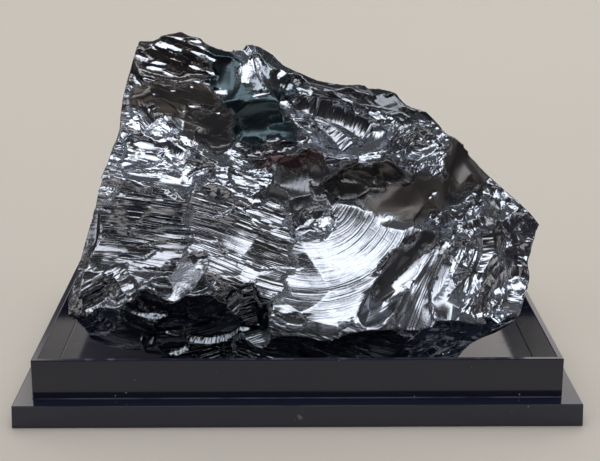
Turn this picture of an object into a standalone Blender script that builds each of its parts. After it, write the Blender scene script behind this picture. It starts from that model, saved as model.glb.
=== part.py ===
"""A chunk of broken silicon standing in the open tray of its display box.

The tray is one moulding: a wide foot, four thin walls and a sunken floor. The chunk is one solid. It starts
as a slab of the stone's outline, is split along flat faces and is then struck flake by flake, each flake
leaving the shallow bowl of a conchoidal fracture.

All sizes are millimetres in the driving dimensions below, and MM turns them into Blender's metres.
+X is to the right, +Y is away from the viewer and +Z is up. The origin is the centre of the tray's underside.
"""

import math
import random
from typing import NamedTuple

import bmesh
import bpy
from mathutils import Matrix, Vector
from mathutils.bvhtree import BVHTree

MM = 0.001

# The tray. Its width and depth are measured over the walls, and the foot stands out past them all round.
TRAY_WIDTH = 120.0
TRAY_DEPTH = 88.0
WALL_THICKNESS = 1.4
WALL_HEIGHT = 9.3
FOOT_HEIGHT = 5.3
FOOT_REACH = 4.2
FLOOR_TOP = 3.6
DRAFT = 0.15
TRAY_EDGE_ROUND = 0.18

# The chunk's slab leans back by LEAN degrees. SLAB_CENTRE is where the middle of its outline stands.
LEAN = 16.5
SLAB_CENTRE = (-0.2, -13.8, 36.0)
FRONT_REACH = 24.0
BACK_REACH = 40.0
REST_GAP = 0.3

# A flake's cutter is a cap of a faceted ball. FACET is the size of the ball's facets, and CAP_SPARE is how
# far the cap reaches out of the stone past the flake's own depth.
FACET = 3.2
CAP_SPARE = 20.0
CAST_START = 200.0

# Loose chips are scattered over the stone after its broad scars. None starts below CHIP_LIMIT.
CHIP_SEED = 2
BACK_CHIPS = 34
EDGE_CHIPS = 36
FRONT_CHIPS = 30
CHIP_LIMIT = -26.0

# The slab's outline as (across, up) from the middle of the slab, clockwise from the top left corner.
OUTLINE = (
    (-37.8, 46.0), (-34.4, 45.8), (-32.7, 46.8), (-27.5, 48.0), (-25.5, 46.8), (-19.1, 45.8),
    (-11.8, 45.2), (-8.4, 44.1), (-5.4, 42.4), (-3.0, 40.0), (0.2, 38.4), (5.3, 36.3),
    (12.1, 35.1), (14.6, 35.5), (17.4, 35.1), (25.0, 33.1), (28.2, 31.3), (31.0, 29.3),
    (35.1, 24.9), (37.1, 23.1), (38.7, 22.5), (41.1, 20.9), (45.3, 15.4), (50.3, 10.7),
    (57.2, 4.2), (60.7, 0.2), (59.8, -3.4), (58.4, -7.5), (56.6, -14.3), (54.4, -19.9),
    (52.7, -22.3), (49.1, -24.7), (45.1, -26.0), (42.3, -27.4), (40.5, -29.4), (38.5, -32.3),
    (34.8, -39.0), (-14.0, -39.0), (-19.7, -32.3), (-23.3, -30.7), (-31.8, -29.9), (-39.1, -29.3),
    (-45.1, -28.3), (-49.5, -26.3), (-52.3, -23.4), (-55.7, -19.5), (-54.8, -15.9), (-53.0, -11.5),
    (-51.5, -4.4), (-49.6, 3.0), (-48.2, 7.6), (-47.2, 12.4), (-45.6, 16.0), (-44.2, 20.9),
    (-42.8, 26.1), (-41.2, 34.9), (-40.0, 38.9), (-38.6, 43.0),
)


class Split(NamedTuple):
    """A flat face: it passes through (across, up, proud) and faces yaw to the right and pitch upwards."""

    across: float
    up: float
    proud: float
    yaw: float
    pitch: float


class Flake(NamedTuple):
    """A struck flake: its place, its scar's radius and depth, the way it faces, and its stretch and turn."""

    across: float
    up: float
    radius: float
    depth: float
    yaw: float
    pitch: float
    stretch: float = 1.0
    turn: float = 0.0


FRONT_SPLITS = (
    Split(11.8, -7.1, 13.4, 0, 8),
    Split(-25.8, -2.3, 8.6, -12, 5),
    Split(32.4, -12.0, 9.6, 19, 9),
    Split(51.8, -4.7, 5.8, 30, 3),
    Split(25.0, 29.0, 3.0, 12, 24),
    Split(-52.0, -6.0, 2.6, -42, 4),
    Split(-45.1, -22.9, 3.0, -20, -35),
    Split(0.9, -29.0, 12.4, 0, -50),
    Split(46.0, -26.0, 2.0, 22, -48),
)

BACK_SPLITS = (
    Split(0.0, -4.0, -35.0, 182, 9),
    Split(-22.0, 46.0, -2.5, 184, 38),
    Split(-8.4, 45.0, -2.5, 163, 42),
    Split(43.0, 18.5, -3.0, 152, 37),
    Split(-47.0, 12.0, -3.0, 230, 9),
    Split(57.0, -12.0, -3.0, 134, -8),
    Split(-42.0, -28.0, -9.0, 208, -26),
    Split(46.0, -25.5, -9.0, 154, -26),
    Split(0.0, -24.0, -34.0, 181, -14),
    Split(-24.0, 0.0, -31.0, 208, 14),
    Split(28.0, 0.0, -30.0, 154, 20),
)

# Broad shallow scars that carry the front's other flakes.
BROAD_FLAKES = (
    Flake(-33.0, -3.0, 13.0, 1.6, -14, 9, 1.5, -4),
    Flake(-11.0, -2.0, 11.0, 1.3, 2, 13, 1.3, -17),
    Flake(-35.0, 18.0, 10.0, 1.8, -14, 13, 1.3, 10),
    Flake(-17.0, 14.0, 9.0, 1.8, 5, 15, 1.2, -20),
    Flake(13.0, 27.0, 11.0, 2.4, 3, 17, 1.5, -12),
    Flake(39.0, 5.0, 10.0, 2.0, 18, 12, 1.2, -40),
    Flake(50.0, -7.0, 9.0, 1.5, 32, 4, 1.2, 70),
    Flake(-22.0, 38.0, 10.0, 1.3, 2, 7, 1.6, -8),
)

FRONT_FLAKES = (
    # the two smooth fans
    Flake(12.5, -6.0, 17.0, 2.8, 1, 17, 1.1),
    Flake(32.0, -13.0, 9.5, 1.8, 14, 13, 1.2, 60),
    # the arch of the undercut, and the rest of the overhung underside
    Flake(-25.8, -22.2, 14.0, 4.6, -4, -27, 1.1),
    Flake(-41.0, -23.5, 6.5, 1.6, -16, -36, 1.3, 30),
    Flake(-1.5, -28.5, 7.0, 1.8, -4, -46, 1.7),
    Flake(18.0, -28.0, 7.0, 2.2, 6, -44, 1.5),
    Flake(36.0, -27.5, 6.0, 1.6, 16, -38, 1.2),
    Flake(48.0, -24.0, 5.0, 1.4, 32, -34, 1.4, 30),
    Flake(-33.0, -19.0, 4.6, 1.2, -20, -8, 1.4, 50),
    Flake(-17.5, -15.0, 4.2, 1.2, 10, -14, 1.6, -46),
    # the pockets and smooth hollows of the upper half
    Flake(-10.0, 25.0, 7.6, 4.2, -2, -7, 2.2, 6),
    Flake(1.0, 26.3, 3.2, 1.0, -8, 2),
    Flake(-6.0, 19.6, 2.2, 1.6, 0, -24, 5.2, 2),
    Flake(1.0, 13.2, 6.4, 2.8, 0, -2, 1.4, -6),
    Flake(18.0, 11.2, 5.0, 2.4, -4, -3, 2.4, 8),
    Flake(27.5, 6.6, 5.2, 2.0, 6, 0, 2.4, 12),
    Flake(40.0, 15.1, 4.0, 1.4, 20, 3, 1.8, 76),
    Flake(20.5, 32.0, 4.6, 1.3, 8, 5, 2.6, -14),
    # the block at the top left, and the facets beside it
    Flake(-30.1, 30.4, 4.2, 2.2, -2, -12, 2.8, -6),
    Flake(-31.0, 40.5, 5.4, 1.0, -6, 12, 1.7, -14),
    Flake(-17.3, 39.6, 4.0, 1.5, 12, -2, 2.1, 80),
    Flake(-11.5, 39.6, 2.6, 1.0, -14, 16, 2.4, 104),
    Flake(-5.6, 38.8, 3.8, 1.5, -8, 0, 2.0, -50),
    # the lens between the fans, and the hollows beside them
    Flake(23.6, -10.6, 3.8, 2.0, 16, -8, 3.2, 50),
    Flake(32.4, -14.6, 6.4, 1.2, 15, 13, 1.4, 60),
    Flake(4.5, 0.6, 3.4, 1.2, -6, 16, 1.5, 20),
    Flake(-4.0, 4.0, 4.4, 1.4, -14, 8, 1.4, -20),
    # the banded face at the left
    Flake(-40.3, -1.1, 7.6, 1.3, -10, 5, 1.7, -6),
    Flake(-23.3, -2.3, 6.8, 1.1, -2, 13, 1.4, -14),
    Flake(-9.0, -7.0, 6.8, 1.1, 4, 8, 1.6, -20),
    Flake(-33.0, 25.0, 4.6, 1.3, -8, 13, 1.2, 60),
    Flake(-34.0, 14.0, 4.4, 1.2, -6, 17, 2.2, -4),
    Flake(-45.6, 5.5, 4.6, 1.0, -30, 4, 1.4, 60),
    Flake(-45.1, -15.0, 4.6, 1.5, -18, 0, 1.5, 40),
    Flake(-50.5, -19.0, 3.4, 1.0, -34, -12, 1.4, -60),
    # the broken right end
    Flake(50.4, -2.3, 3.8, 1.4, 28, 0, 2.4, -66),
    Flake(53.6, 0.6, 3.2, 0.7, 32, 5, 1.4, -50),
    Flake(50.0, -15.0, 4.6, 1.4, 28, 10, 1.5, 60),
    Flake(43.6, -5.0, 4.2, 1.3, 12, 5, 1.6, 80),
    Flake(45.0, 8.8, 4.2, 1.2, 24, 14, 1.5, -50),
    Flake(31.0, 19.6, 5.4, 2.0, 6, 14, 1.4, 10),
    Flake(12.5, 24.4, 4.6, 1.6, -6, 22, 1.9, -20),
    Flake(3.4, 33.5, 3.8, 1.2, -12, 12, 1.6, -20),
    # the front corner of the rim, from the left side over the top to the right end
    Flake(-51.4, -10.0, 3.2, 0.7, -44, 4, 1.8, 80),
    Flake(-47.8, 2.0, 3.4, 0.7, -44, 8, 1.8, 80),
    Flake(-44.8, 12.6, 3.2, 0.7, -44, 8, 1.6, 80),
    Flake(-41.6, 23.0, 3.4, 0.8, -44, 10, 1.8, 80),
    Flake(-39.0, 34.4, 3.4, 0.8, -44, 12, 1.9, 80),
    Flake(-36.4, 45.0, 2.6, 0.8, -20, 44, 1.6, 10),
    Flake(-28.0, 46.8, 3.4, 1.1, -6, 48, 1.6, 4),
    Flake(-19.6, 45.0, 3.4, 1.0, 4, 50, 1.9, -6),
    Flake(-10.6, 43.8, 2.8, 0.9, 14, 46, 1.6, -20),
    Flake(-2.6, 38.6, 2.8, 0.9, 26, 42, 1.8, -34),
    Flake(8.6, 35.2, 3.0, 0.9, 8, 50, 2.0, -10),
    Flake(18.6, 33.9, 3.2, 1.0, 6, 50, 1.9, -6),
    Flake(28.6, 30.1, 3.0, 0.9, 22, 46, 1.6, -34),
    Flake(36.0, 20.8, 2.8, 0.6, 22, 28, 1.7, -42),
    Flake(45.4, 12.8, 2.8, 0.6, 30, 32, 1.8, -46),
    Flake(55.2, -14.6, 2.8, 0.6, 54, -8, 1.8, -80),
)

BACK_FLAKES = (
    Flake(-6.0, -2.0, 17.0, 3.2, 184, 11, 1.3, 20),
    Flake(24.0, -12.0, 13.0, 2.8, 158, 12, 1.2, -30),
    Flake(-30.0, -6.0, 13.0, 3.0, 212, 10, 1.3, 50),
    Flake(-20.0, 24.0, 12.0, 2.6, 200, 34, 1.3, -20),
    Flake(16.0, 20.0, 12.0, 2.6, 168, 40, 1.2, 10),
    Flake(42.0, 2.0, 9.0, 2.0, 138, 24, 1.3, -50),
    Flake(-44.0, 8.0, 9.0, 2.0, 232, 16, 1.4, 80),
    Flake(2.0, -22.0, 11.0, 2.2, 180, -14, 1.5, 6),
    Flake(-34.0, 38.0, 6.0, 1.4, 204, 50, 1.3, 0),
    Flake(46.0, -14.0, 7.0, 1.6, 120, -18, 1.2, 60),
    Flake(-48.0, -16.0, 7.0, 1.5, 246, -22, 1.3, 60),
    Flake(4.0, 8.0, 7.0, 1.3, 170, 20, 1.6, -40),
    Flake(-14.0, 10.0, 6.0, 1.2, 196, 18, 1.4, 30),
    Flake(-24.0, 43.4, 4.6, 1.4, 188, 66, 2.2, 4),
    Flake(-2.0, 38.0, 4.4, 1.3, 168, 62, 2.2, 24),
    Flake(20.0, 31.6, 4.6, 1.4, 166, 64, 2.2, 14),
    Flake(38.0, 16.6, 4.4, 1.0, 150, 44, 2.0, 40),
)


def direction(yaw: float, pitch: float) -> Vector:
    """The way something faces. Yaw 0 faces the viewer, 90 the right and 180 the back; pitch is upwards."""
    turn, rise = math.radians(yaw), math.radians(pitch)
    return Vector((math.sin(turn) * math.cos(rise), -math.cos(turn) * math.cos(rise), math.sin(rise)))


def material(name: str, colour: tuple, metallic: float, roughness: float) -> bpy.types.Material:
    """A plain finish for one piece."""
    made = bpy.data.materials.new(name)
    made.use_nodes = True
    shader = made.node_tree.nodes["Principled BSDF"]
    shader.inputs["Base Color"].default_value = (*colour, 1.0)
    shader.inputs["Metallic"].default_value = metallic
    shader.inputs["Roughness"].default_value = roughness
    return made


def mesh_object(name: str, bm: bmesh.types.BMesh, collection: bpy.types.Collection) -> bpy.types.Object:
    """Puts a bmesh in an object of its own and frees it."""
    mesh = bpy.data.meshes.new(name)
    bm.to_mesh(mesh)
    bm.free()
    made = bpy.data.objects.new(name, mesh)
    collection.objects.link(made)
    return made


def box(width: float, depth: float, height: float) -> bmesh.types.BMesh:
    """A box standing on the ground plane, centred on the origin."""
    bm = bmesh.new()
    bmesh.ops.create_cube(bm, size=1.0)
    bmesh.ops.translate(bm, vec=(0, 0, 0.5), verts=bm.verts)
    bmesh.ops.scale(bm, vec=(width * MM, depth * MM, height * MM), verts=bm.verts)
    return bm


def step(bm: bmesh.types.BMesh, face: bmesh.types.BMFace, inwards: float, rise: float) -> bmesh.types.BMFace:
    """Insets a level face and lifts or sinks the inner face by rise, leaving an upright wall round it."""
    bmesh.ops.inset_region(bm, faces=[face], thickness=inwards * MM, use_even_offset=True)
    made = bmesh.ops.extrude_discrete_faces(bm, faces=[face])["faces"][0]
    bmesh.ops.translate(bm, vec=(0, 0, rise * MM), verts=made.verts)
    return made


def display_tray(collection: bpy.types.Collection) -> bpy.types.Object:
    """The moulded tray: foot, walls and sunken floor in one piece."""
    foot_width = TRAY_WIDTH + 2 * FOOT_REACH
    foot_depth = TRAY_DEPTH + 2 * FOOT_REACH
    bm = box(foot_width, foot_depth, FOOT_HEIGHT)
    top = max(bm.faces, key=lambda face: face.calc_center_median().z)
    bmesh.ops.scale(bm, vec=(1 - 2 * DRAFT / foot_width, 1 - 2 * DRAFT / foot_depth, 1), verts=top.verts)
    rim = step(bm, top, FOOT_REACH - DRAFT, WALL_HEIGHT)
    step(bm, rim, WALL_THICKNESS, FLOOR_TOP - FOOT_HEIGHT - WALL_HEIGHT)
    tray = mesh_object("display_tray", bm, collection)
    edges = tray.modifiers.new("rounded edges", "BEVEL")
    edges.width = TRAY_EDGE_ROUND * MM
    edges.segments = 2
    edges.limit_method = "ANGLE"
    tray.data.materials.append(material("black_plastic", (0.012, 0.012, 0.014), 0.0, 0.18))
    return tray


def slab() -> bmesh.types.BMesh:
    """The outline, as thick as the stone will ever be. Across is X, up is Z and the front faces -Y."""
    bm = bmesh.new()
    corners = [bm.verts.new((across * MM, -FRONT_REACH * MM, up * MM)) for across, up in OUTLINE]
    front = bm.faces.new(corners)
    made = bmesh.ops.extrude_face_region(bm, geom=[front])["geom"]
    back = [part for part in made if isinstance(part, bmesh.types.BMVert)]
    bmesh.ops.translate(bm, vec=(0, (FRONT_REACH + BACK_REACH) * MM, 0), verts=back)
    bmesh.ops.recalc_face_normals(bm, faces=bm.faces)
    return bm


def split_off(bm: bmesh.types.BMesh, point: Vector, facing: Vector) -> None:
    """Removes everything in front of a plane and closes the stone along it."""
    whole = bm.verts[:] + bm.edges[:] + bm.faces[:]
    bmesh.ops.bisect_plane(bm, geom=whole, plane_co=point, plane_no=facing, clear_outer=True)
    open_edges = [edge for edge in bm.edges if edge.is_boundary]
    bmesh.ops.holes_fill(bm, edges=open_edges, sides=0)
    bmesh.ops.recalc_face_normals(bm, faces=bm.faces)


def split_slab(bm: bmesh.types.BMesh) -> None:
    """Splits the slab along its flat faces, and level with the tray's floor underneath."""
    for cut in FRONT_SPLITS + BACK_SPLITS:
        point = Vector((cut.across, -cut.proud, cut.up)) * MM
        split_off(bm, point, direction(cut.yaw, cut.pitch))
    to_slab = placement().inverted()
    sole = to_slab @ Vector((0, 0, (FLOOR_TOP + REST_GAP) * MM))
    split_off(bm, sole, to_slab.to_3x3() @ Vector((0, 0, -1)))


def placement() -> Matrix:
    """Where the slab stands in the tray."""
    lean = Matrix.Rotation(math.radians(-LEAN), 4, "X")
    return Matrix.Translation(Vector(SLAB_CENTRE) * MM) @ lean


def flake_cutter(point: Vector, outwards: Vector, flake: Flake) -> bmesh.types.BMesh:
    """The cap of a faceted ball that leaves the flake's scar at a point, open towards outwards."""
    ball = (flake.radius**2 + flake.depth**2) / (2 * flake.depth)
    halvings = max(0, round(math.log2(ball / FACET)))
    bm = bmesh.new()
    bmesh.ops.create_icosphere(bm, subdivisions=halvings + 1, radius=ball * MM)
    bm.transform(Matrix.Rotation(flake.across + flake.up, 4, (0.3, 0.5, 0.8)))
    cap_height = min(flake.depth + CAP_SPARE, 1.9 * ball)
    split_off(bm, Vector((0, 0, (cap_height - ball) * MM)), Vector((0, 0, 1)))
    level = Vector((0, 0, 1)).cross(outwards).normalized()
    frame = Matrix((level, outwards.cross(level), outwards)).transposed().to_4x4()
    along = Matrix.Rotation(math.radians(flake.turn), 4, "Z")
    longer = Matrix.Diagonal((flake.stretch, 1.0, 1.0, 1.0))
    centre = point + outwards * (ball - flake.depth) * MM
    bm.transform(Matrix.Translation(centre) @ frame @ along @ longer)
    return bm


def surface_point(stone: bpy.types.Object, start: Vector, towards: Vector) -> tuple:
    """Where a straight line from start meets the stone, and the way its surface faces there."""
    surface = BVHTree.FromObject(stone, bpy.context.evaluated_depsgraph_get())
    return surface.ray_cast(start * MM, towards)[:2]


def take_off(stone: bpy.types.Object, cutter: bpy.types.Object) -> None:
    """Cuts the cutter's shape out of the stone and does away with the cutter."""
    cut = stone.modifiers.new("flake", "BOOLEAN")
    cut.operation = "DIFFERENCE"
    cut.object = cutter
    bpy.context.view_layer.update()
    graph = bpy.context.evaluated_depsgraph_get()
    struck = bpy.data.meshes.new_from_object(stone.evaluated_get(graph))
    stone.modifiers.clear()
    old = stone.data
    stone.data = struck
    bpy.data.meshes.remove(old)
    bpy.data.objects.remove(cutter)


def strike(stone: bpy.types.Object, flake: Flake, tools: bpy.types.Collection) -> None:
    """Takes one of the laid-out flakes off the surface that the earlier ones left."""
    behind = math.cos(math.radians(flake.yaw)) < 0
    away = CAST_START if behind else -CAST_START
    towards = Vector((0, -1, 0)) if behind else Vector((0, 1, 0))
    point = surface_point(stone, Vector((flake.across, away, flake.up)), towards)[0]
    cutter = flake_cutter(point, direction(flake.yaw, flake.pitch), flake)
    take_off(stone, mesh_object("flake_cutter", cutter, tools))


def knock(stone: bpy.types.Object, line: tuple, chip: Flake, tools: bpy.types.Collection) -> None:
    """Takes a loose chip off where a line, as (start, towards), meets the stone. Its yaw and pitch tilt it."""
    point, facing = surface_point(stone, *line)
    if point is None or point.z < CHIP_LIMIT * MM:
        return
    tilt = Matrix.Rotation(math.radians(chip.yaw), 3, "Z") @ Matrix.Rotation(math.radians(chip.pitch), 3, "X")
    cutter = flake_cutter(point, tilt @ facing, chip)
    take_off(stone, mesh_object("chip_cutter", cutter, tools))


def loose_chip(chance: random.Random, small: float, large: float) -> Flake:
    """A chip of a chance size, tilt, length and turn."""
    radius = chance.uniform(small, large)
    depth = radius * chance.uniform(0.13, 0.2)
    tilts = (chance.uniform(-14, 14), chance.uniform(-14, 14))
    grain = chance.random()
    return Flake(grain, 0.0, radius, depth, *tilts, chance.uniform(1.0, 1.9), chance.uniform(0, 180))


def weather(stone: bpy.types.Object, tools: bpy.types.Collection) -> None:
    """Scatters loose chips over the back, round the edge and over the front."""
    chance = random.Random(CHIP_SEED)
    for _ in range(BACK_CHIPS):
        start = Vector((chance.uniform(-54, 56), CAST_START, chance.uniform(-28, 44)))
        knock(stone, (start, Vector((0, -1, 0))), loose_chip(chance, 4.0, 8.5), tools)
    for _ in range(EDGE_CHIPS):
        round_about = chance.uniform(0, math.tau)
        outwards = Vector((math.cos(round_about), 0, math.sin(round_about)))
        start = outwards * CAST_START + Vector((0, chance.uniform(-3, 7), 0))
        knock(stone, (start, -outwards), loose_chip(chance, 2.4, 4.4), tools)
    for _ in range(FRONT_CHIPS):
        start = Vector((chance.uniform(-50, 54), -CAST_START, chance.uniform(-20, 40)))
        knock(stone, (start, Vector((0, 1, 0))), loose_chip(chance, 2.4, 4.8), tools)


def silicon_chunk(collection: bpy.types.Collection, tools: bpy.types.Collection) -> bpy.types.Object:
    """The stone: the slab, split and struck, then stood in the tray."""
    bm = slab()
    split_slab(bm)
    stone = mesh_object("silicon_chunk", bm, collection)
    for flake in BACK_FLAKES + BROAD_FLAKES:
        strike(stone, flake, tools)
    weather(stone, tools)
    for flake in FRONT_FLAKES:
        strike(stone, flake, tools)
    stone.matrix_world = placement()
    stone.data.materials.clear()
    stone.data.materials.append(material("silicon", (0.42, 0.43, 0.46), 1.0, 0.22))
    return stone


def main() -> None:
    """Clears the scene and builds the tray and the stone."""
    for old in list(bpy.data.objects):
        bpy.data.objects.remove(old)
    parts = bpy.data.collections.new("silicon_chunk_in_tray")
    tools = bpy.data.collections.new("cutters")
    for collection in (parts, tools):
        bpy.context.scene.collection.children.link(collection)
    display_tray(parts)
    silicon_chunk(parts, tools)


main()
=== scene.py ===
"""A chunk of silicon standing in its open display tray, in a plain studio.

The frame gives both pieces at their real size and place. This script strikes a fine fracture surface into a
copy of the chunk, gives the chunk and the tray their finishes, and sets up the floor, the lights and the
camera.

The chunk leans back in its tray, so its surface is worked in a frame of its own, the slab: across to the
right, up along the leaning face, and proud towards the viewer. Lengths there are millimetres and angles are
degrees. MM turns the millimetres into the world's metres.
"""

import logging
import math
from dataclasses import dataclass, field
from enum import Enum

import bmesh
import bpy
import numpy as np
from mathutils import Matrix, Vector
from mathutils.kdtree import KDTree


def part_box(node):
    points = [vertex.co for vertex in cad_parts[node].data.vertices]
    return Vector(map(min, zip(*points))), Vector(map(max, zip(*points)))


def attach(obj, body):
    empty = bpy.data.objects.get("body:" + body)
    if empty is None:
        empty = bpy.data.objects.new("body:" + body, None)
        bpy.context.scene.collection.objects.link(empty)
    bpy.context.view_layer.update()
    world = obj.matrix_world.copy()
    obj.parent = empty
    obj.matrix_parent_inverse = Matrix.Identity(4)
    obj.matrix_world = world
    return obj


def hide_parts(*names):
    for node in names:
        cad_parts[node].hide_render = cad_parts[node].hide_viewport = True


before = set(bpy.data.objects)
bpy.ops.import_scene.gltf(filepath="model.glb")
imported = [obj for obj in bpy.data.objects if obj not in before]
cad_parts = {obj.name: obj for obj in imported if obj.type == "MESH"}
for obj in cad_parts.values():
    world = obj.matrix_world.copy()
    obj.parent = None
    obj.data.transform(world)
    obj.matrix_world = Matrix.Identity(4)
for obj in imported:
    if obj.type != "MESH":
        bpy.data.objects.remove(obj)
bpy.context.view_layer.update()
MM = 0.001
TINY = 1e-9
Pair = tuple[float, float]
Triple = tuple[float, float, float]
Colour = tuple[float, float, float, float]
log = logging.getLogger("silicon")


# ---------------------------------------------------------------- the slab and its directions


@dataclass(frozen=True)
class Slab:
    """The chunk's leaning frame: lean is how far its face leans back, and centre is its origin."""

    lean: float = 16.5
    centre: Triple = (-0.2, -13.8, 36.0)

    def axes(self) -> np.ndarray:
        """The unit vectors of across, up and proud, as rows in the world's axes."""
        sin, cos = math.sin(math.radians(self.lean)), math.cos(math.radians(self.lean))
        return np.array(((1.0, 0.0, 0.0), (0.0, sin, cos), (0.0, -cos, sin)))

    def from_world(self, points: np.ndarray) -> np.ndarray:
        """Metres in the world to millimetres in the slab."""
        return (points / MM - np.array(self.centre)) @ self.axes().T

    def to_world(self, points: np.ndarray) -> np.ndarray:
        """Millimetres in the slab to metres in the world."""
        return (points @ self.axes() + np.array(self.centre)) * MM


def facing(yaw: float, pitch: float) -> np.ndarray:
    """The way a face looks in the slab when it turns by yaw to the right and by pitch upwards."""
    turn, rise = math.radians(yaw), math.radians(pitch)
    return np.array((math.sin(turn) * math.cos(rise), math.sin(rise), math.cos(turn) * math.cos(rise)))


def unit(vector: np.ndarray) -> np.ndarray:
    """The vector at length 1."""
    return vector / np.linalg.norm(vector)


def laid_on(direction: np.ndarray, outwards: np.ndarray) -> np.ndarray:
    """A direction laid flat on the face that looks outwards, at length 1."""
    return unit(direction - outwards * (direction @ outwards))


# ---------------------------------------------------------------- the surface and what strikes it


@dataclass(frozen=True)
class SoftSpot:
    """A smooth hollow in front, where no ridge stays sharp: its middle, its radius and how fast it fades."""

    across: float
    up: float
    radius: float
    fade: float = 2.5

    def freedom(self, points: np.ndarray) -> np.ndarray:
        """How freely points may be smoothed: 1 in the middle of the hollow and 0 from its radius on."""
        away = np.hypot(points[:, 0] - self.across, points[:, 1] - self.up) / self.radius
        return np.clip(self.fade - self.fade * away, 0.0, 1.0)


SOFT_SPOTS = (
    SoftSpot(-12.0, 26.0, 9.0), SoftSpot(-17.0, 36.0, 4.0), SoftSpot(-4.0, 34.0, 4.5),
    SoftSpot(20.0, 9.0, 9.0), SoftSpot(32.0, 8.0, 7.0), SoftSpot(31.0, -12.0, 7.0),
    SoftSpot(-18.5, 22.5, 6.5), SoftSpot(-26.0, 31.0, 7.0), SoftSpot(1.0, 11.0, 5.0),
    SoftSpot(38.5, 14.5, 5.5),
)


@dataclass(frozen=True)
class Chip:
    """A small flake's scar: a shallow bowl, or a flat facet.

    centre lies on the surface, outwards is the way the scar opens, and along is its long way. radius is its
    half width, stretch its length over its width, and depth how deep it goes. margin is how far beyond its
    size it is looked for, and rim the squared share of its size where it ends.
    """

    centre: np.ndarray
    outwards: np.ndarray
    along: np.ndarray
    radius: float
    depth: float
    stretch: float
    flat: bool = False
    margin: float = 1.2
    rim: float = 1.3

    def reach(self) -> float:
        """How far from its centre the scar may touch the surface."""
        return self.radius * max(1.0, self.stretch) * self.margin

    def taken_off(self, points: np.ndarray) -> np.ndarray:
        """Measures what the scar removes.

        Args:
            points: Points of the surface near the scar.

        Returns:
            How far each point stands over the scar's floor, and 0 where the scar doesn't touch it.
        """
        offset = points - self.centre
        along = offset @ self.along / self.stretch
        side = offset @ np.cross(self.outwards, self.along)
        out = offset @ self.outwards
        spread = (along**2 + side**2) / self.radius**2
        floor = -0.5 * self.depth if self.flat else self.depth * (spread - 1.0)
        struck = (spread < self.rim) & (out < self.radius)
        return np.where(struck, np.maximum(out - floor, 0.0), 0.0)


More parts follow.
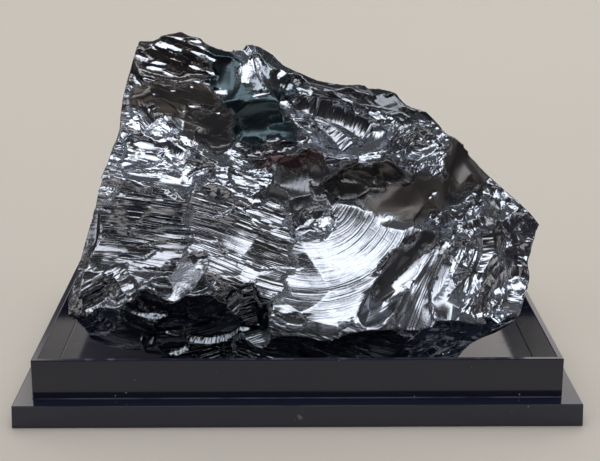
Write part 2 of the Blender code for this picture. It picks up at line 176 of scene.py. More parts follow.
@dataclass
class Skin:
    """The chunk's surface as arrays in the slab: points, the edges between them, and their normals.

    Each point has a guard, from 0 to 1, that says how much of a chip reaches it: the top edge, where the
    surface looks up and away, keeps its outline. order and columns list the points from left to right. The
    two facings are how far normals look towards the viewer, from 0 to 1, where soft spots begin to count and
    where the guard stops. ridge_step is how close the marks along a ridge are, and pull the share of the way
    to its neighbours that a free point moves in a round.
    """

    mesh: bpy.types.Mesh
    slab: Slab
    soft_facing: float = 0.3
    guard_facing: float = 0.3
    guard_rounds: int = 8
    ridge_step: float = 0.3
    pull: float = 0.5
    points: np.ndarray = field(init=False)
    edges: np.ndarray = field(init=False)
    degree: np.ndarray = field(init=False)
    normals: np.ndarray = field(init=False)
    guard: np.ndarray = field(init=False)
    order: np.ndarray = field(init=False)
    columns: np.ndarray = field(init=False)

    def __post_init__(self) -> None:
        """Reads the points, edges and normals of the mesh."""
        flat = np.empty(len(self.mesh.vertices) * 3)
        self.mesh.vertices.foreach_get("co", flat)
        self.points = self.slab.from_world(flat.reshape(-1, 3))
        ends = np.empty(len(self.mesh.edges) * 2, dtype=np.int64)
        self.mesh.edges.foreach_get("vertices", ends)
        self.edges = ends.reshape(-1, 2)
        self.degree = np.bincount(ends, minlength=len(self.points)).clip(1)
        self.normals = self.read_normals()

    def write(self) -> None:
        """Puts the points back in the mesh."""
        self.mesh.vertices.foreach_set("co", self.slab.to_world(self.points).ravel())
        self.mesh.update()

    def read_normals(self) -> np.ndarray:
        """Finds the normals of the surface as it is now.

        Returns:
            One unit vector for each point, in the slab.
        """
        self.write()
        flat = np.empty(len(self.mesh.vertices) * 3, dtype=np.float32)
        self.mesh.vertex_normals.foreach_get("vector", flat)
        return flat.reshape(-1, 3).astype(float) @ self.slab.axes().T

    def mean_of_neighbours(self, values: np.ndarray) -> np.ndarray:
        """Averages values over each point's neighbours.

        Args:
            values: A row of numbers for each point.

        Returns:
            The mean row of the points that share an edge with each point.
        """
        total = np.empty_like(values)
        a, b = self.edges.T
        for axis in range(values.shape[1]):
            column = values[:, axis]
            total[:, axis] = np.bincount(a, column[b], len(values)) + np.bincount(b, column[a], len(values))
        return total / self.degree[:, None]

    def relax(self, freedom: np.ndarray, rounds: int) -> None:
        """Smooths the surface.

        Args:
            freedom: How freely each point moves, from 0 to 1.
            rounds: How many times each point moves towards its neighbours.
        """
        for _ in range(rounds):
            towards = self.mean_of_neighbours(self.points) - self.points
            self.points += (self.pull * freedom)[:, None] * towards
        self.normals = self.read_normals()

    def distances_to_ridges(self, source: bpy.types.Mesh, sharp: float) -> np.ndarray:
        """Measures how far the points are from the sharp edges of the faceted solid.

        Args:
            source: The faceted solid's mesh.
            sharp: The angle from which an edge between two faces counts as sharp.

        Returns:
            A distance in millimetres for each point.
        """
        bm = bmesh.new()
        bm.from_mesh(source)
        marks = []
        for edge in bm.edges:
            if edge.is_manifold and edge.calc_face_angle() > math.radians(sharp):
                a, b = (vert.co for vert in edge.verts)
                steps = max(1, round((b - a).length / (self.ridge_step * MM)))
                marks.extend(a.lerp(b, step / steps) for step in range(steps + 1))
        bm.free()
        tree = KDTree(len(marks))
        for index, mark in enumerate(marks):
            tree.insert(mark, index)
        tree.balance()
        return np.array([tree.find(point)[2] for point in self.slab.to_world(self.points)]) / MM

    def freedom(self, source: bpy.types.Mesh, sharp: float, reach: float) -> np.ndarray:
        """Finds how freely each point may be smoothed without losing the solid's ridges.

        Args:
            source: The faceted solid's mesh.
            sharp: The angle from which an edge between two faces counts as a ridge.
            reach: The distance from a ridge at which points are free, except in the soft spots.

        Returns:
            A number for each point, 0 on a ridge and 1 away from it.
        """
        free = np.clip(self.distances_to_ridges(source, sharp) / reach, 0.0, 1.0) ** 2
        in_front = self.normals[:, 2] > self.soft_facing
        for spot in SOFT_SPOTS:
            free = np.maximum(free, np.where(in_front, spot.freedom(self.points), 0.0))
        return free

    def get_ready(self) -> None:
        """Sets each point's guard, and sorts the points from left to right, before chips are struck."""
        steep = np.clip(np.abs(self.normals[:, 2:]) / self.guard_facing, 0.0, 1.0)
        self.guard = np.where(self.normals[:, 1:2] > 0.0, steep, 1.0)
        for _ in range(self.guard_rounds):
            self.guard = self.mean_of_neighbours(self.guard)
        self.order = np.argsort(self.points[:, 0])
        self.columns = self.points[self.order, 0]

    def near(self, centre: np.ndarray, reach: float) -> np.ndarray:
        """Finds the points in a cube.

        Args:
            centre: The cube's middle.
            reach: Half its side.

        Returns:
            The points' numbers.
        """
        first, last = np.searchsorted(self.columns, (centre[0] - reach, centre[0] + reach))
        column = self.order[first:last]
        offset = np.abs(self.points[column, 1:] - centre[1:])
        return column[(offset[:, 0] < reach) & (offset[:, 1] < reach)]

    def strike(self, chip: Chip) -> np.ndarray:
        """Pushes the surface down to a chip's floor.

        Args:
            chip: The scar to leave.

        Returns:
            The numbers of the points that moved.
        """
        near = self.near(chip.centre, chip.reach())
        depth = chip.taken_off(self.points[near])
        hit = near[depth > 0]
        self.points[hit] -= (depth[depth > 0] * self.guard[hit, 0])[:, None] * chip.outwards
        return hit


# ---------------------------------------------------------------- the kinds of break


class Grain(Enum):
    """How the fine lines of a zone run."""

    LINES = "side by side"
    RAYS = "out from a point"
    RINGS = "round a point"


RAYS, RINGS, LINES = Grain.RAYS, Grain.RINGS, Grain.LINES


@dataclass(frozen=True)
class Oval:
    """Where a zone lies: its middle, its half sizes along and over it, and how it is turned."""

    across: float
    up: float
    wide: float
    high: float
    turn: float = 0.0

    def share(self, across: np.ndarray, up: np.ndarray) -> np.ndarray:
        """Measures how far points are from the middle.

        Args:
            across: The points' places across the slab.
            up: The points' places up the slab.

        Returns:
            Their distances as shares of the oval's size: 1 on its rim.
        """
        sin, cos = math.sin(math.radians(self.turn)), math.cos(math.radians(self.turn))
        a, b = across - self.across, up - self.up
        return np.hypot((a * cos + b * sin) / self.wide, (b * cos - a * sin) / self.high)


@dataclass(frozen=True)
class Striae:
    """The fine lines of a zone.

    steep is how steep they are, pitch how far apart, and rise the share of each that turns down, away from
    the light: 0.8 gives thin bright lines and 0.2 thin dark ones. Straight lines run at an angle and sway by
    wave, a radian for each wave_length. Rays and rings are centred on focus.
    """

    grain: Grain
    steep: float
    pitch: float
    rise: float
    angle: float = 0.0
    wave: float = 0.0
    focus: Pair = (0.0, 0.0)
    wave_length: float = 5.0

    def straight(self, a: np.ndarray, b: np.ndarray) -> tuple[np.ndarray, np.ndarray]:
        """Lays points on straight lines.

        Args:
            a: The points' places across, from the middle of the zone.
            b: The points' places up, from the middle of the zone.

        Returns:
            Their places along the lines and over them, in millimetres.
        """
        sin, cos = math.sin(math.radians(self.angle)), math.cos(math.radians(self.angle))
        along = a * cos + b * sin
        return along, b * cos - a * sin + self.wave * np.sin(along / self.wave_length)

    def curved(self, a: np.ndarray, b: np.ndarray, middle: Pair) -> tuple[np.ndarray, np.ndarray]:
        """Lays points on rays or rings.

        Args:
            a: The points' places across, from the focus.
            b: The points' places up, from the focus.
            middle: The middle of the zone, from the focus.

        Returns:
            Their places along the lines and over them, in millimetres.
        """
        radius = np.hypot(a, b)
        bearing = np.angle(np.exp(1j * (np.arctan2(b, a) - math.atan2(middle[1], middle[0]))))
        around = bearing * (math.hypot(*middle) + 1.0)
        if self.grain is RAYS:
            return radius, around * math.copysign(1.0, middle[0])
        return around, radius * math.copysign(1.0, middle[1])

    def run_at(self, across: float, up: float) -> np.ndarray:
        """Finds the way the lines run at a point.

        Args:
            across: The point's place across the slab.
            up: The point's place up the slab.

        Returns:
            A unit vector in the slab.
        """
        if self.grain is LINES:
            return np.array((math.cos(math.radians(self.angle)), math.sin(math.radians(self.angle)), 0.0))
        a, b = across - self.focus[0], up - self.focus[1]
        way = np.array((a, b, 0.0)) if self.grain is RAYS else np.array((-b, a, 0.0))
        return way / max(np.linalg.norm(way), TINY)


@dataclass(frozen=True)
class Tone:
    """How a zone reflects: shade scales its colour, painted shade below 1 and painted highlight above 1, for
    the dark or bright surroundings that it mirrors, and satin blurs it, from 0 to 1.

    tint is a colour painted into it: -1 is teal and 1 brown, painted reflections of what it mirrors, 0 is
    grey and 2 plum, the colour given to the crevice.
    """

    shade: float = 1.0
    tint: float = 0.0
    satin: float = 0.0


@dataclass(frozen=True)
class Flakes:
    """A zone's small chips.

    count is how many, and size from what radius to what radius. stretch is their length over their width,
    depth their depth over their radius, tumble how far they tilt each their own way, and lift turns them all
    upwards.
    """

    count: int = 0
    size: Pair = (1.0, 2.5)
    stretch: float = 1.6
    depth: float = 0.16
    tumble: float = 14.0
    lift: float = 0.0


@dataclass(frozen=True)
class Zone:
    """A region with one kind of break. hackle is how splintery it is, from 0 to 1."""

    oval: Oval
    striae: Striae
    hackle: float
    tone: Tone = Tone()
    flakes: Flakes = Flakes()

    def grain_at(self, across: np.ndarray, up: np.ndarray) -> tuple[np.ndarray, np.ndarray]:
        """Lays points on the zone's fine lines.

        Args:
            across: The points' places across the slab.
            up: The points' places up the slab.

        Returns:
            Their places along the lines and over them, in millimetres.
        """
        oval, focus = self.oval, self.striae.focus
        if self.striae.grain is LINES:
            return self.striae.straight(across - oval.across, up - oval.up)
        middle = (oval.across - focus[0], oval.up - focus[1])
        return self.striae.curved(across - focus[0], up - focus[1], middle)


# Each zone's Tone paints light into its colour: a shade below 1 is painted shade and above 1 painted
# highlight, and a teal or brown tint is a painted reflection.
FRONT_ZONES = (
    # the streaked block at the top left
    Zone(Oval(-31, 40, 9, 6, -10), Striae(LINES, 0.05, 2.4, 0.7, angle=-16, wave=0.2), hackle=0.05,
         tone=Tone(0.5, 0.6, 0.1), flakes=Flakes(14, (1.8, 4.2), 2.6, 0.16, 12, -9)),
    # the dark swath that falls from it
    Zone(Oval(-26, 31, 11, 4.6, -24), Striae(LINES, 0.05, 2.2, 0.8, angle=-24, wave=0.3), hackle=0.03,
         tone=Tone(0.48, 0.8, 0.55), flakes=Flakes(5, (1, 2), 2.4, 0.12, 10, -8)),
    # the swath's foot
    Zone(Oval(-18.5, 25.5, 7, 5, -20), Striae(LINES, 0.04, 2.2, 0.7, angle=-20, wave=0.2), hackle=0.02,
         tone=Tone(0.38, 0.5, 0.6)),
    # the teal facet
    Zone(Oval(-17, 39.5, 3.5, 6.5), Striae(LINES, 0.03, 1.5, 0.6, angle=80, wave=0.1), hackle=0,
         tone=Tone(0.24, -0.8, 0.25)),
    # the upright flame
    Zone(Oval(-12, 40, 2.2, 5, 10), Striae(LINES, 0.2, 1.2, 0.4, angle=100, wave=0.1), hackle=0.05,
         flakes=Flakes(1, (1.2, 2.4), 2.6, 0.2, 14, 6)),
    # the facets beside the flame
    Zone(Oval(-6, 38, 3.6, 5.5, -20), Striae(LINES, 0.08, 1.4, 0.7, angle=70, wave=0.1), hackle=0.05,
         tone=Tone(0.6, -0.3), flakes=Flakes(2, (1.4, 2.8), 2, 0.18)),
    # the teal pocket
    Zone(Oval(-10, 26.5, 10, 6.5, 4), Striae(RINGS, 0.04, 2.4, 0.6, focus=(-6, 20)), hackle=0.02,
         tone=Tone(0.32, -0.9, 0.4)),
    # the ledge over the crevice
    Zone(Oval(-4, 19.8, 11, 2, 2), Striae(LINES, 0.1, 1, 0.7, angle=2, wave=0.2), hackle=0.4,
         tone=Tone(0.6, 0.2), flakes=Flakes(14, (0.8, 1.6), 1.2, 0.3, 20)),
    # the grey facet under the crevice
    Zone(Oval(1.5, 11, 8, 4.6), Striae(LINES, 0.08, 1.4, 0.8, angle=80, wave=0.2), hackle=0.12,
         tone=Tone(0.42, 0.2, 0.4), flakes=Flakes(6, (1.2, 2.8), 1.4, 0.16, 12, -8)),
    # the plum crevice
    Zone(Oval(0, 16.6, 8, 1.6, 2), Striae(LINES, 0.05, 1.4, 0.8, angle=4, wave=0.2), hackle=0.05,
         tone=Tone(0.3, 1.8, 0.5)),
    # the long brown facet of the upper right
    Zone(Oval(20, 32, 13, 3.6, -14), Striae(RINGS, 0.05, 2, 0.7, focus=(8, 20)), hackle=0.04,
         tone=Tone(0.34, 0.1, 0.15), flakes=Flakes(4, (1.8, 3.4), 2.4, 0.12, 8, -16)),
    # the scaled wedge under it
    Zone(Oval(9, 27, 10, 5, -14), Striae(LINES, 0.22, 1.2, 0.7, angle=-22, wave=0.3), hackle=0.15,
         tone=Tone(0.8, 0.1), flakes=Flakes(15, (1.8, 4.4), 2.4, 0.18, 18)),
    # the upper crystals
    Zone(Oval(29, 20, 8, 6, -30), Striae(LINES, 0.12, 1.2, 0.6, angle=40, wave=0.3), hackle=0.8,
         flakes=Flakes(34, (1.2, 3.2), 1.3, 0.34, 30)),
    # the broken ledge
    Zone(Oval(13, 20, 9, 4, 4), Striae(LINES, 0.15, 1.4, 0.7, angle=10, wave=0.3), hackle=0.3,
         flakes=Flakes(16, (1.4, 4), 2, 0.22, 22)),
    # the dark almond facet
    Zone(Oval(18, 11.5, 10, 4, 10), Striae(RINGS, 0.06, 2.2, 0.8, focus=(34, 26)), hackle=0.02,
         tone=Tone(0.28, 0.5, 0.4), flakes=Flakes(3, (1.6, 3.2), 2.4, 0.1, 8, -14)),
    # the brown almond facet
    Zone(Oval(27, 7.5, 11, 4.4, 12), Striae(RINGS, 0.03, 2.2, 0.8, focus=(44, 26)), hackle=0.01,
         tone=Tone(0.36, 0.8, 0.8)),
    # the brown tip beside the crystals
    Zone(Oval(40, 15, 3.4, 5.4, 10), Striae(LINES, 0.03, 1.5, 0.8, angle=80, wave=0.1), hackle=0.01,
         tone=Tone(0.4, 0.7, 0.6)),
    # the first fan
    Zone(Oval(13, -7, 17, 13, 18), Striae(RINGS, 0.12, 0.6, 0.4, focus=(4, 10)), hackle=0.03,
         tone=Tone(0.92, 0, 0.1)),
    # the hook over it
    Zone(Oval(5, 2, 5, 3, 10), Striae(RINGS, 0.25, 1.4, 0.4, focus=(6, -4)), hackle=0.3,
         flakes=Flakes(12, (1.2, 3), 1.8, 0.24, 20, 4)),
    # the lens between the fans
    Zone(Oval(23, -10, 4.4, 11, -42), Striae(LINES, 0.06, 1.4, 0.8, angle=52, wave=0.1), hackle=0.01,
         tone=Tone(0.38, 0.2, 0.5)),
    # the second fan
    Zone(Oval(32, -14, 8, 10, -36), Striae(RAYS, 0.18, 0.8, 0.4, focus=(39, 3)), hackle=0.04,
         tone=Tone(0.95, 0, 0.3), flakes=Flakes(3, (1.2, 2.6), 3.8, 0.1, 6, 2)),
    # the crystals of the right end
    Zone(Oval(40, 2, 7, 6), Striae(LINES, 0.12, 1.4, 0.6, angle=30, wave=0.3), hackle=0.7, tone=Tone(0.9),
         flakes=Flakes(34, (1.2, 3.2), 1.2, 0.34, 30)),
    # the broken right end
    Zone(Oval(45, -12, 8, 10), Striae(LINES, 0.15, 1.6, 0.6, angle=70, wave=0.3), hackle=0.6,
         tone=Tone(1.15), flakes=Flakes(36, (1.6, 4.6), 1.8, 0.34, 30, 2)),
    # the dark facet on it
    Zone(Oval(49, -2, 3.4, 8, 24), Striae(LINES, 0.06, 1.4, 0.8, angle=115, wave=0.1), hackle=0.08,
         tone=Tone(0.6, 0.3, 0.3), flakes=Flakes(3, (1.4, 2.8), 2.4, 0.14, 8)),
    # the right rim
    Zone(Oval(55, -4, 6, 12, 10), Striae(LINES, 0.12, 1.6, 0.6, angle=110, wave=0.2), hackle=0.5,
         flakes=Flakes(30, (1, 2.4), 1.8, 0.22, 18, 2)),
    # the strata at the left
    Zone(Oval(-36, -1, 15, 9, -4), Striae(LINES, 0.46, 1.5, 0.85, angle=-4, wave=0.5), hackle=0.04,
         tone=Tone(0.74, 0.1), flakes=Flakes(7, (0.9, 1.8), 6, 0.16, 9)),
    # the strata in the middle
    Zone(Oval(-14, -4, 16, 10, -18), Striae(LINES, 0.36, 1.05, 0.76, angle=-18, wave=0.4), hackle=0.04,
         tone=Tone(0.92, 0.1), flakes=Flakes(7, (0.9, 1.8), 6, 0.14, 8)),
    # the long bright band over them
    Zone(Oval(-33, 14, 10, 3), Striae(LINES, 0.12, 1.6, 0.3, angle=-4, wave=0.2), hackle=0.06,
         tone=Tone(1.1), flakes=Flakes(4, (1.6, 3), 3, 0.14, 8, 6)),
    # the sparkle at the left
    Zone(Oval(-35, 21, 10, 5.5), Striae(LINES, 0.15, 1.7, 0.4, angle=-10, wave=0.4), hackle=0.45,
         tone=Tone(1.4), flakes=Flakes(34, (1.8, 5), 1.7, 0.3, 26, 8)),
    # the sparkle in the middle
    Zone(Oval(-16, 13, 10, 5.5, -14), Striae(LINES, 0.15, 1.6, 0.5, angle=-14, wave=0.4), hackle=0.45,
         tone=Tone(0.95), flakes=Flakes(36, (1.4, 4.4), 1.8, 0.28, 26, 3)),
    # the left edge
    Zone(Oval(-45, 20, 4, 12), Striae(LINES, 0.35, 1.3, 0.5, angle=-6, wave=0.2), hackle=0.15,
         tone=Tone(1.35), flakes=Flakes(12, (1, 2.6), 2.6, 0.2)),
    # the left foot
    Zone(Oval(-47, -15, 8, 7), Striae(LINES, 0.12, 1.4, 0.7, angle=30, wave=0.2), hackle=0.3,
         tone=Tone(0.85, 0.1), flakes=Flakes(14, (1.4, 3.8), 1.6, 0.24, 20)),
    # the arch of the overhung underside
    Zone(Oval(-26, -22, 15, 10), Striae(RINGS, 0.14, 1.4, 0.7, focus=(-30, -2)), hackle=0.1,
         tone=Tone(0.42, -0.15), flakes=Flakes(24, (1.8, 5), 1.6, 0.2, 18, -6)),
    # the banded wedge of the underside
    Zone(Oval(6, -28, 22, 5), Striae(LINES, 0.3, 1.2, 0.8, angle=-18, wave=0.3), hackle=0.05,
         tone=Tone(0.5, -0.15), flakes=Flakes(8, (1.4, 3.6), 3, 0.14, 10, -4)),
    # the brow at the right
    Zone(Oval(40, -26, 14, 5, 10), Striae(LINES, 0.12, 1.6, 0.6, angle=10, wave=0.3), hackle=0.2,
         tone=Tone(1.1, -0.15), flakes=Flakes(22, (1.6, 4.4), 1.6, 0.24, 22, 3)),
)


@dataclass(frozen=True)
class Scar:
    """A scar of its own: its middle, half length, half width and tilt across the slab.

    yaw and pitch are the way it looks, by default towards the light, and hollow is its depth as a share of
    its half width. A bright one is a clean mirror in the plain grey, without the painted shade and painted
    reflection colour of its zone. least_proud keeps it off surfaces that look away from the viewer.
    """

    across: float
    up: float
    length: float
    width: float
    turn: float
    yaw: float = 2.0
    pitch: float = 17.0
    hollow: float = 0.14
    flat: bool = False
    bright: bool = True
    least_proud: float = 0.05

    def chip(self, skin: Skin) -> Chip:
        """Places the scar.

        Args:
            skin: The surface it is struck from.

        Returns:
            The chip to strike, centred on the nearest point of the surface.
        """
        offset = np.hypot(skin.points[:, 0] - self.across, skin.points[:, 1] - self.up)
        offset[skin.normals[:, 2] < self.least_proud] = np.inf
        turn, outwards = math.radians(self.turn), facing(self.yaw, self.pitch)
        along = laid_on(np.array((math.cos(turn), math.sin(turn), 0.0)), outwards)
        return Chip(skin.points[np.argmin(offset)], outwards, along, self.width, self.hollow * self.width,
                    self.length / self.width, self.flat)


SCARS = (
    # the smooth dark swath that falls from the block to the pocket, and the dark scars of the right half
    Scar(-25.0, 30.5, 10.0, 4.2, -30, -6, -14, 0.05, bright=False),
    Scar(-16.5, 30.5, 4.5, 4.0, -40, -8, -14, 0.05, bright=False),
    Scar(-18.5, 24.0, 5.0, 3.6, 10, 4, -12, 0.06, bright=False),
    Scar(18.0, 32.6, 8.0, 2.6, -12, 0, -2, 0.05, bright=False),
    Scar(28.0, 29.3, 5.0, 2.0, -28, 4, -2, 0.05, bright=False),
    Scar(12.5, 11.0, 5.5, 3.2, 10, -8, -10, 0.05, bright=False),
    Scar(-30.5, 41.7, 6.0, 1.3, -18, -4, -4, 0.05, bright=False),
    Scar(-26.5, 38.2, 6.0, 1.5, -16, -4, -4, 0.05, bright=False),
    Scar(-33.5, 37.0, 5.0, 1.2, -14, -4, -4, 0.05, bright=False),
    Scar(-40.5, -5.0, 10.0, 1.4, -3, 0, 1, 0.05, bright=False),
    Scar(-9.0, -4.5, 6.0, 3.6, -28, -4, 0, 0.05, bright=False),
    Scar(22.8, -9.8, 10.5, 2.9, 47, -8, -4, 0.05, bright=False),
    Scar(-3.5, -19.5, 5.5, 1.8, -20, -4, 0, 0.05, bright=False),
    # the lower part of the first fan
    Scar(13.5, -14.5, 13.0, 4.6, 24, 2, 12, 0.04, bright=False),
    # streaks on the top left block, and the two upright ones below it
    Scar(-31.1, 44.5, 3.4, 1.1, -20), Scar(-22.8, 45.2, 2.6, 0.7, -8),
    Scar(-22.4, 43.7, 2.8, 0.7, -8), Scar(-37.1, 41.6, 1.7, 0.9, -25),
    Scar(-33.0, 40.3, 1.6, 0.7, -10), Scar(-33.5, 38.9, 2.2, 0.7, -15),
    Scar(-24.1, 39.1, 1.7, 0.9, -30), Scar(-20.9, 37.9, 1.5, 0.8, -15),
    Scar(-18.0, 32.8, 1.5, 0.9, -20), Scar(-32.0, 44.2, 2.3, 0.6, -30),
    Scar(-28.4, 46.2, 1.8, 0.5, -20), Scar(-23.6, 35.5, 0.8, 0.5, 0),
    Scar(-25.5, 29.9, 3.0, 0.5, 10), Scar(-38.6, 36.0, 1.8, 0.6, -40),
    Scar(-27.5, 36.4, 0.9, 0.5, 30), Scar(-40.5, 34.8, 1.2, 0.9, -20),
    Scar(-31.1, 27.0, 2.6, 0.9, 85), Scar(-27.9, 24.8, 2.0, 0.8, 80),
    Scar(-35.4, 28.0, 2.8, 2.2, -30, -14, 12, 0.1, flat=True),
    # wisps beside them, and sparks on the swath
    Scar(-33.6, 43.6, 1.6, 0.35, -40), Scar(-28.8, 42.7, 2.0, 0.4, -28),
    Scar(-24.2, 42.6, 2.6, 0.6, -14), Scar(-21.2, 41.6, 2.4, 0.5, -24),
    Scar(-23.2, 40.9, 1.6, 0.35, -6), Scar(-28.0, 40.8, 2.0, 0.35, -25),
    Scar(-35.2, 36.2, 2.2, 0.4, -24), Scar(-30.2, 37.6, 1.8, 0.4, -30),
    Scar(-24.8, 34.2, 0.8, 0.4, -50), Scar(-21.4, 35.0, 1.2, 0.35, -20),
    Scar(-30.0, 33.4, 0.9, 0.35, 10), Scar(-33.2, 32.6, 1.4, 0.3, -30),
    Scar(-27.0, 28.6, 0.9, 0.4, 20), Scar(-22.6, 29.9, 1.3, 0.35, 8),
    Scar(-20.2, 29.3, 0.9, 0.4, -10), Scar(-18.6, 28.0, 0.7, 0.5, -60),
    # the flame, its thin neighbour, and the rim of the pocket
    Scar(-12.7, 39.2, 5.4, 1.7, 97, hollow=0.1), Scar(-11.7, 36.5, 3.2, 1.2, 80),
    Scar(-8.8, 38.9, 4.2, 0.8, -77), Scar(-3.0, 37.7, 1.7, 1.2, 40),
    Scar(-2.7, 30.6, 2.4, 1.2, -35), Scar(-9.5, 31.9, 3.0, 0.6, 15),
    Scar(-0.5, 27.0, 2.6, 0.4, -65),
    # the patches in the sparkle at the left
    Scar(-36.4, 20.5, 2.6, 1.6, -20), Scar(-30.1, 21.9, 2.2, 1.0, 10),
    Scar(-42.2, 23.1, 1.8, 1.2, 30), Scar(-35.4, 17.6, 3.0, 1.1, -15),
    Scar(-28.9, 19.6, 2.4, 1.0, -30), Scar(-40.8, 15.9, 2.2, 1.0, 20),
    # the ledge over the crevice, the hook and the long patch
    Scar(3.8, 21.2, 5.0, 0.8, 14), Scar(2.1, -0.8, 3.8, 1.1, 5), Scar(6.5, 1.6, 2.4, 1.2, 60),
    Scar(-31.8, 12.0, 6.5, 1.7, -8),
    # the wedge at the upper right, and the streaks of the second fan
    Scar(20.8, 26.3, 3.4, 1.4, -35), Scar(29.5, -9.0, 10.5, 2.1, 41, hollow=0.08),
    Scar(36.8, -4.7, 4.6, 1.6, 60, hollow=0.1), Scar(36.2, -11.5, 7.5, 0.8, 66),
    Scar(33.5, -12.5, 5.0, 2.0, 58, 10, 12, 0.06, bright=False),
    # mirrors at the right and on the overhang's brow
    Scar(33.6, 8.8, 1.3, 0.5, 25), Scar(32.2, 7.9, 0.8, 0.4, 25),
    Scar(49.4, -14.4, 1.8, 1.6, 60, flat=True), Scar(53.0, -10.8, 1.5, 1.4, 30, flat=True),
    Scar(44.5, -21.0, 2.2, 1.3, 50, 6, 12, 0.1, flat=True),
    Scar(33.6, -22.9, 2.8, 1.5, 8, 4, 6, 0.1, flat=True),
    Scar(-27.8, -11.6, 8.0, 3.2, 42, -6, 9.5, 0.5, flat=True),
    Scar(-19.0, -13.2, 2.0, 1.4, -20, 0, 7, 0.1, flat=True),
)


@dataclass(frozen=True)
class Patch:
    """A zone on the plane that it is laid out on: the slab's face, or for one behind, a plane of its own."""

    zone: Zone
    front: bool = True
    centre: np.ndarray = field(default_factory=lambda: np.zeros(3))
    rows: np.ndarray = field(default_factory=lambda: np.eye(3))


@dataclass
class Fracture:
    """The fine fracture surface: which zone each point lies in, and what that does to it.

    zones are the front's, and sway is how fast the borders between them sway, in radians to the millimetre.
    The back's are seeded: back_zones is how many, back_rough the share that is splintery, and the other
    back fields are what their sizes, lines and tones are drawn from. Towards the rim, where the surface
    turns away from the viewer, chips lose size. depths and lengths are what a chip's own are varied by.
    """

    zones: tuple[Zone, ...]
    seed: int = 5
    sway: Triple = (0.9, 0.5, 0.7)
    back_zones: int = 46
    back_size: Pair = (6.0, 13.0)
    back_focus: Pair = (8.0, 20.0)
    back_steep: Pair = (0.05, 0.4)
    back_pitch: Pair = (1.0, 1.8)
    back_rise: Pair = (0.3, 0.8)
    back_shade: Pair = (0.8, 1.0)
    back_tint: Pair = (-0.2, 0.4)
    back_rough: float = 0.4
    splintery: tuple[float, Flakes] = (0.7, Flakes(36, (0.9, 3.0), 1.8, 0.25, 20))
    smooth: tuple[float, Flakes] = (0.08, Flakes(5, (0.9, 3.0), 1.8, 0.12, 8))
    front_limit: float = 0.12
    rim: float = 0.45
    least_rim: float = 0.35
    least_facing: float = 0.2
    depths: Pair = (0.6, 1.2)
    lengths: Pair = (0.7, 1.3)
    flat_share: float = 0.8
    pitch_share: float = 0.4
    patch_gap: float = 7.3
    clean_lines: float = 0.35
    patches: list[Patch] = field(init=False)
    which: np.ndarray = field(init=False)
    place: np.ndarray = field(init=False)
    clean: np.ndarray = field(init=False)

    def back_zone(self, chance: np.random.Generator) -> Zone:
        """Draws a zone for the back, the sides or the sole.

        Args:
            chance: The source of random numbers.

        Returns:
            A splintery zone or a smooth one, centred on its own plane.
        """
        hackle, flakes = self.splintery if chance.random() < self.back_rough else self.smooth
        size = chance.uniform(*self.back_size)
        grain = chance.choice(list(Grain))
        angle, wave = chance.uniform(*self.back_focus), chance.uniform(*self.back_focus)
        lines = [chance.uniform(*limits) for limits in (self.back_steep, self.back_pitch, self.back_rise)]
        tone = Tone(chance.uniform(*self.back_shade), chance.uniform(*self.back_tint))
        striae = Striae(grain, *lines, angle=angle, wave=wave, focus=(angle, wave))
        return Zone(Oval(0, 0, size, size), striae, hackle, tone, flakes)

    def swayed(self, across: np.ndarray, up: np.ndarray) -> tuple[np.ndarray, np.ndarray]:
        """The points' places moved to and fro, so that the borders between zones wander."""
        bend, ripple, drift = self.sway
        return across + np.sin(up * bend + np.sin(across * ripple)), up + np.sin(across * drift + 2.0)

    def back_patches(self, skin: Skin) -> list[Patch]:
        """Seeds zones over the back, the sides and the sole, each on its own tilted plane.

        Args:
            skin: The surface they lie on.

        Returns:
            The new patches.
        """
        chance = np.random.default_rng(self.seed)
        hidden = np.flatnonzero(skin.normals[:, 2] < self.front_limit)
        made = []
        for index in chance.choice(hidden, self.back_zones, replace=False):
            outwards = skin.normals[index]
            level = unit(np.cross((0.0, 1.0, 0.001), outwards))
            rows = np.array((level, np.cross(outwards, level), outwards))
            made.append(Patch(self.back_zone(chance), False, skin.points[index], rows))
        return made

    def sort(self, skin: Skin) -> None:
        """Finds each point's patch, and its place on that patch's plane.

        Args:
            skin: The surface.
        """
        front = skin.normals[:, 2] >= self.front_limit
        swayed = self.swayed(skin.points[:, 0], skin.points[:, 1])
        best = np.full(len(skin.points), np.inf)
        self.which = np.zeros(len(skin.points), dtype=int)
        self.place = skin.points[:, :2].copy()
        self.patches = [Patch(zone) for zone in self.zones] + self.back_patches(skin)
        for number, patch in enumerate(self.patches):
            oval = patch.zone.oval
            if patch.front:
                share = oval.share(*swayed)
            else:
                local = (skin.points - patch.centre) @ patch.rows.T
                share = np.linalg.norm(local, axis=1) / oval.wide
            closer = (front == patch.front) & (share < best)
            best[closer] = share[closer]
            self.which[closer] = number
            if not patch.front:
                self.place[closer] = local[closer, :2]

    def flake(self, chance: np.random.Generator, patch: Patch, place: np.ndarray, centre: np.ndarray,
              normal: np.ndarray) -> Chip:
        """Draws one small flake.

        Args:
            chance: The source of random numbers.
            patch: The patch that it belongs to.
            place: Where it lies on the patch's plane.
            centre: Where it lies in the slab.
            normal: The surface's normal there.

        Returns:
            The chip to strike.
        """
        flakes = patch.zone.flakes
        run = patch.zone.striae.run_at(*place) @ patch.rows
        rim = min(max(abs(normal[2]) / self.rim, self.least_rim), 1.0)
        radius = rim * (flakes.size[0] + (flakes.size[1] - flakes.size[0]) * chance.random() ** 2)
        side = np.cross(normal, run)
        side /= np.linalg.norm(side) + TINY
        tilts = np.tan(rim * np.radians(chance.uniform(-flakes.tumble, flakes.tumble, 2)))
        outwards = normal + tilts[0] * side + self.pitch_share * tilts[1] * run
        outwards[1] += math.tan(math.radians(flakes.lift))
        outwards = unit(outwards)
        depth = radius * flakes.depth * chance.uniform(*self.depths)
        flat = chance.random() < self.flat_share * patch.zone.hackle and rim == 1.0
        stretch = flakes.stretch * chance.uniform(*self.lengths)
        return Chip(centre, outwards, laid_on(run, outwards), radius, depth, stretch, flat)

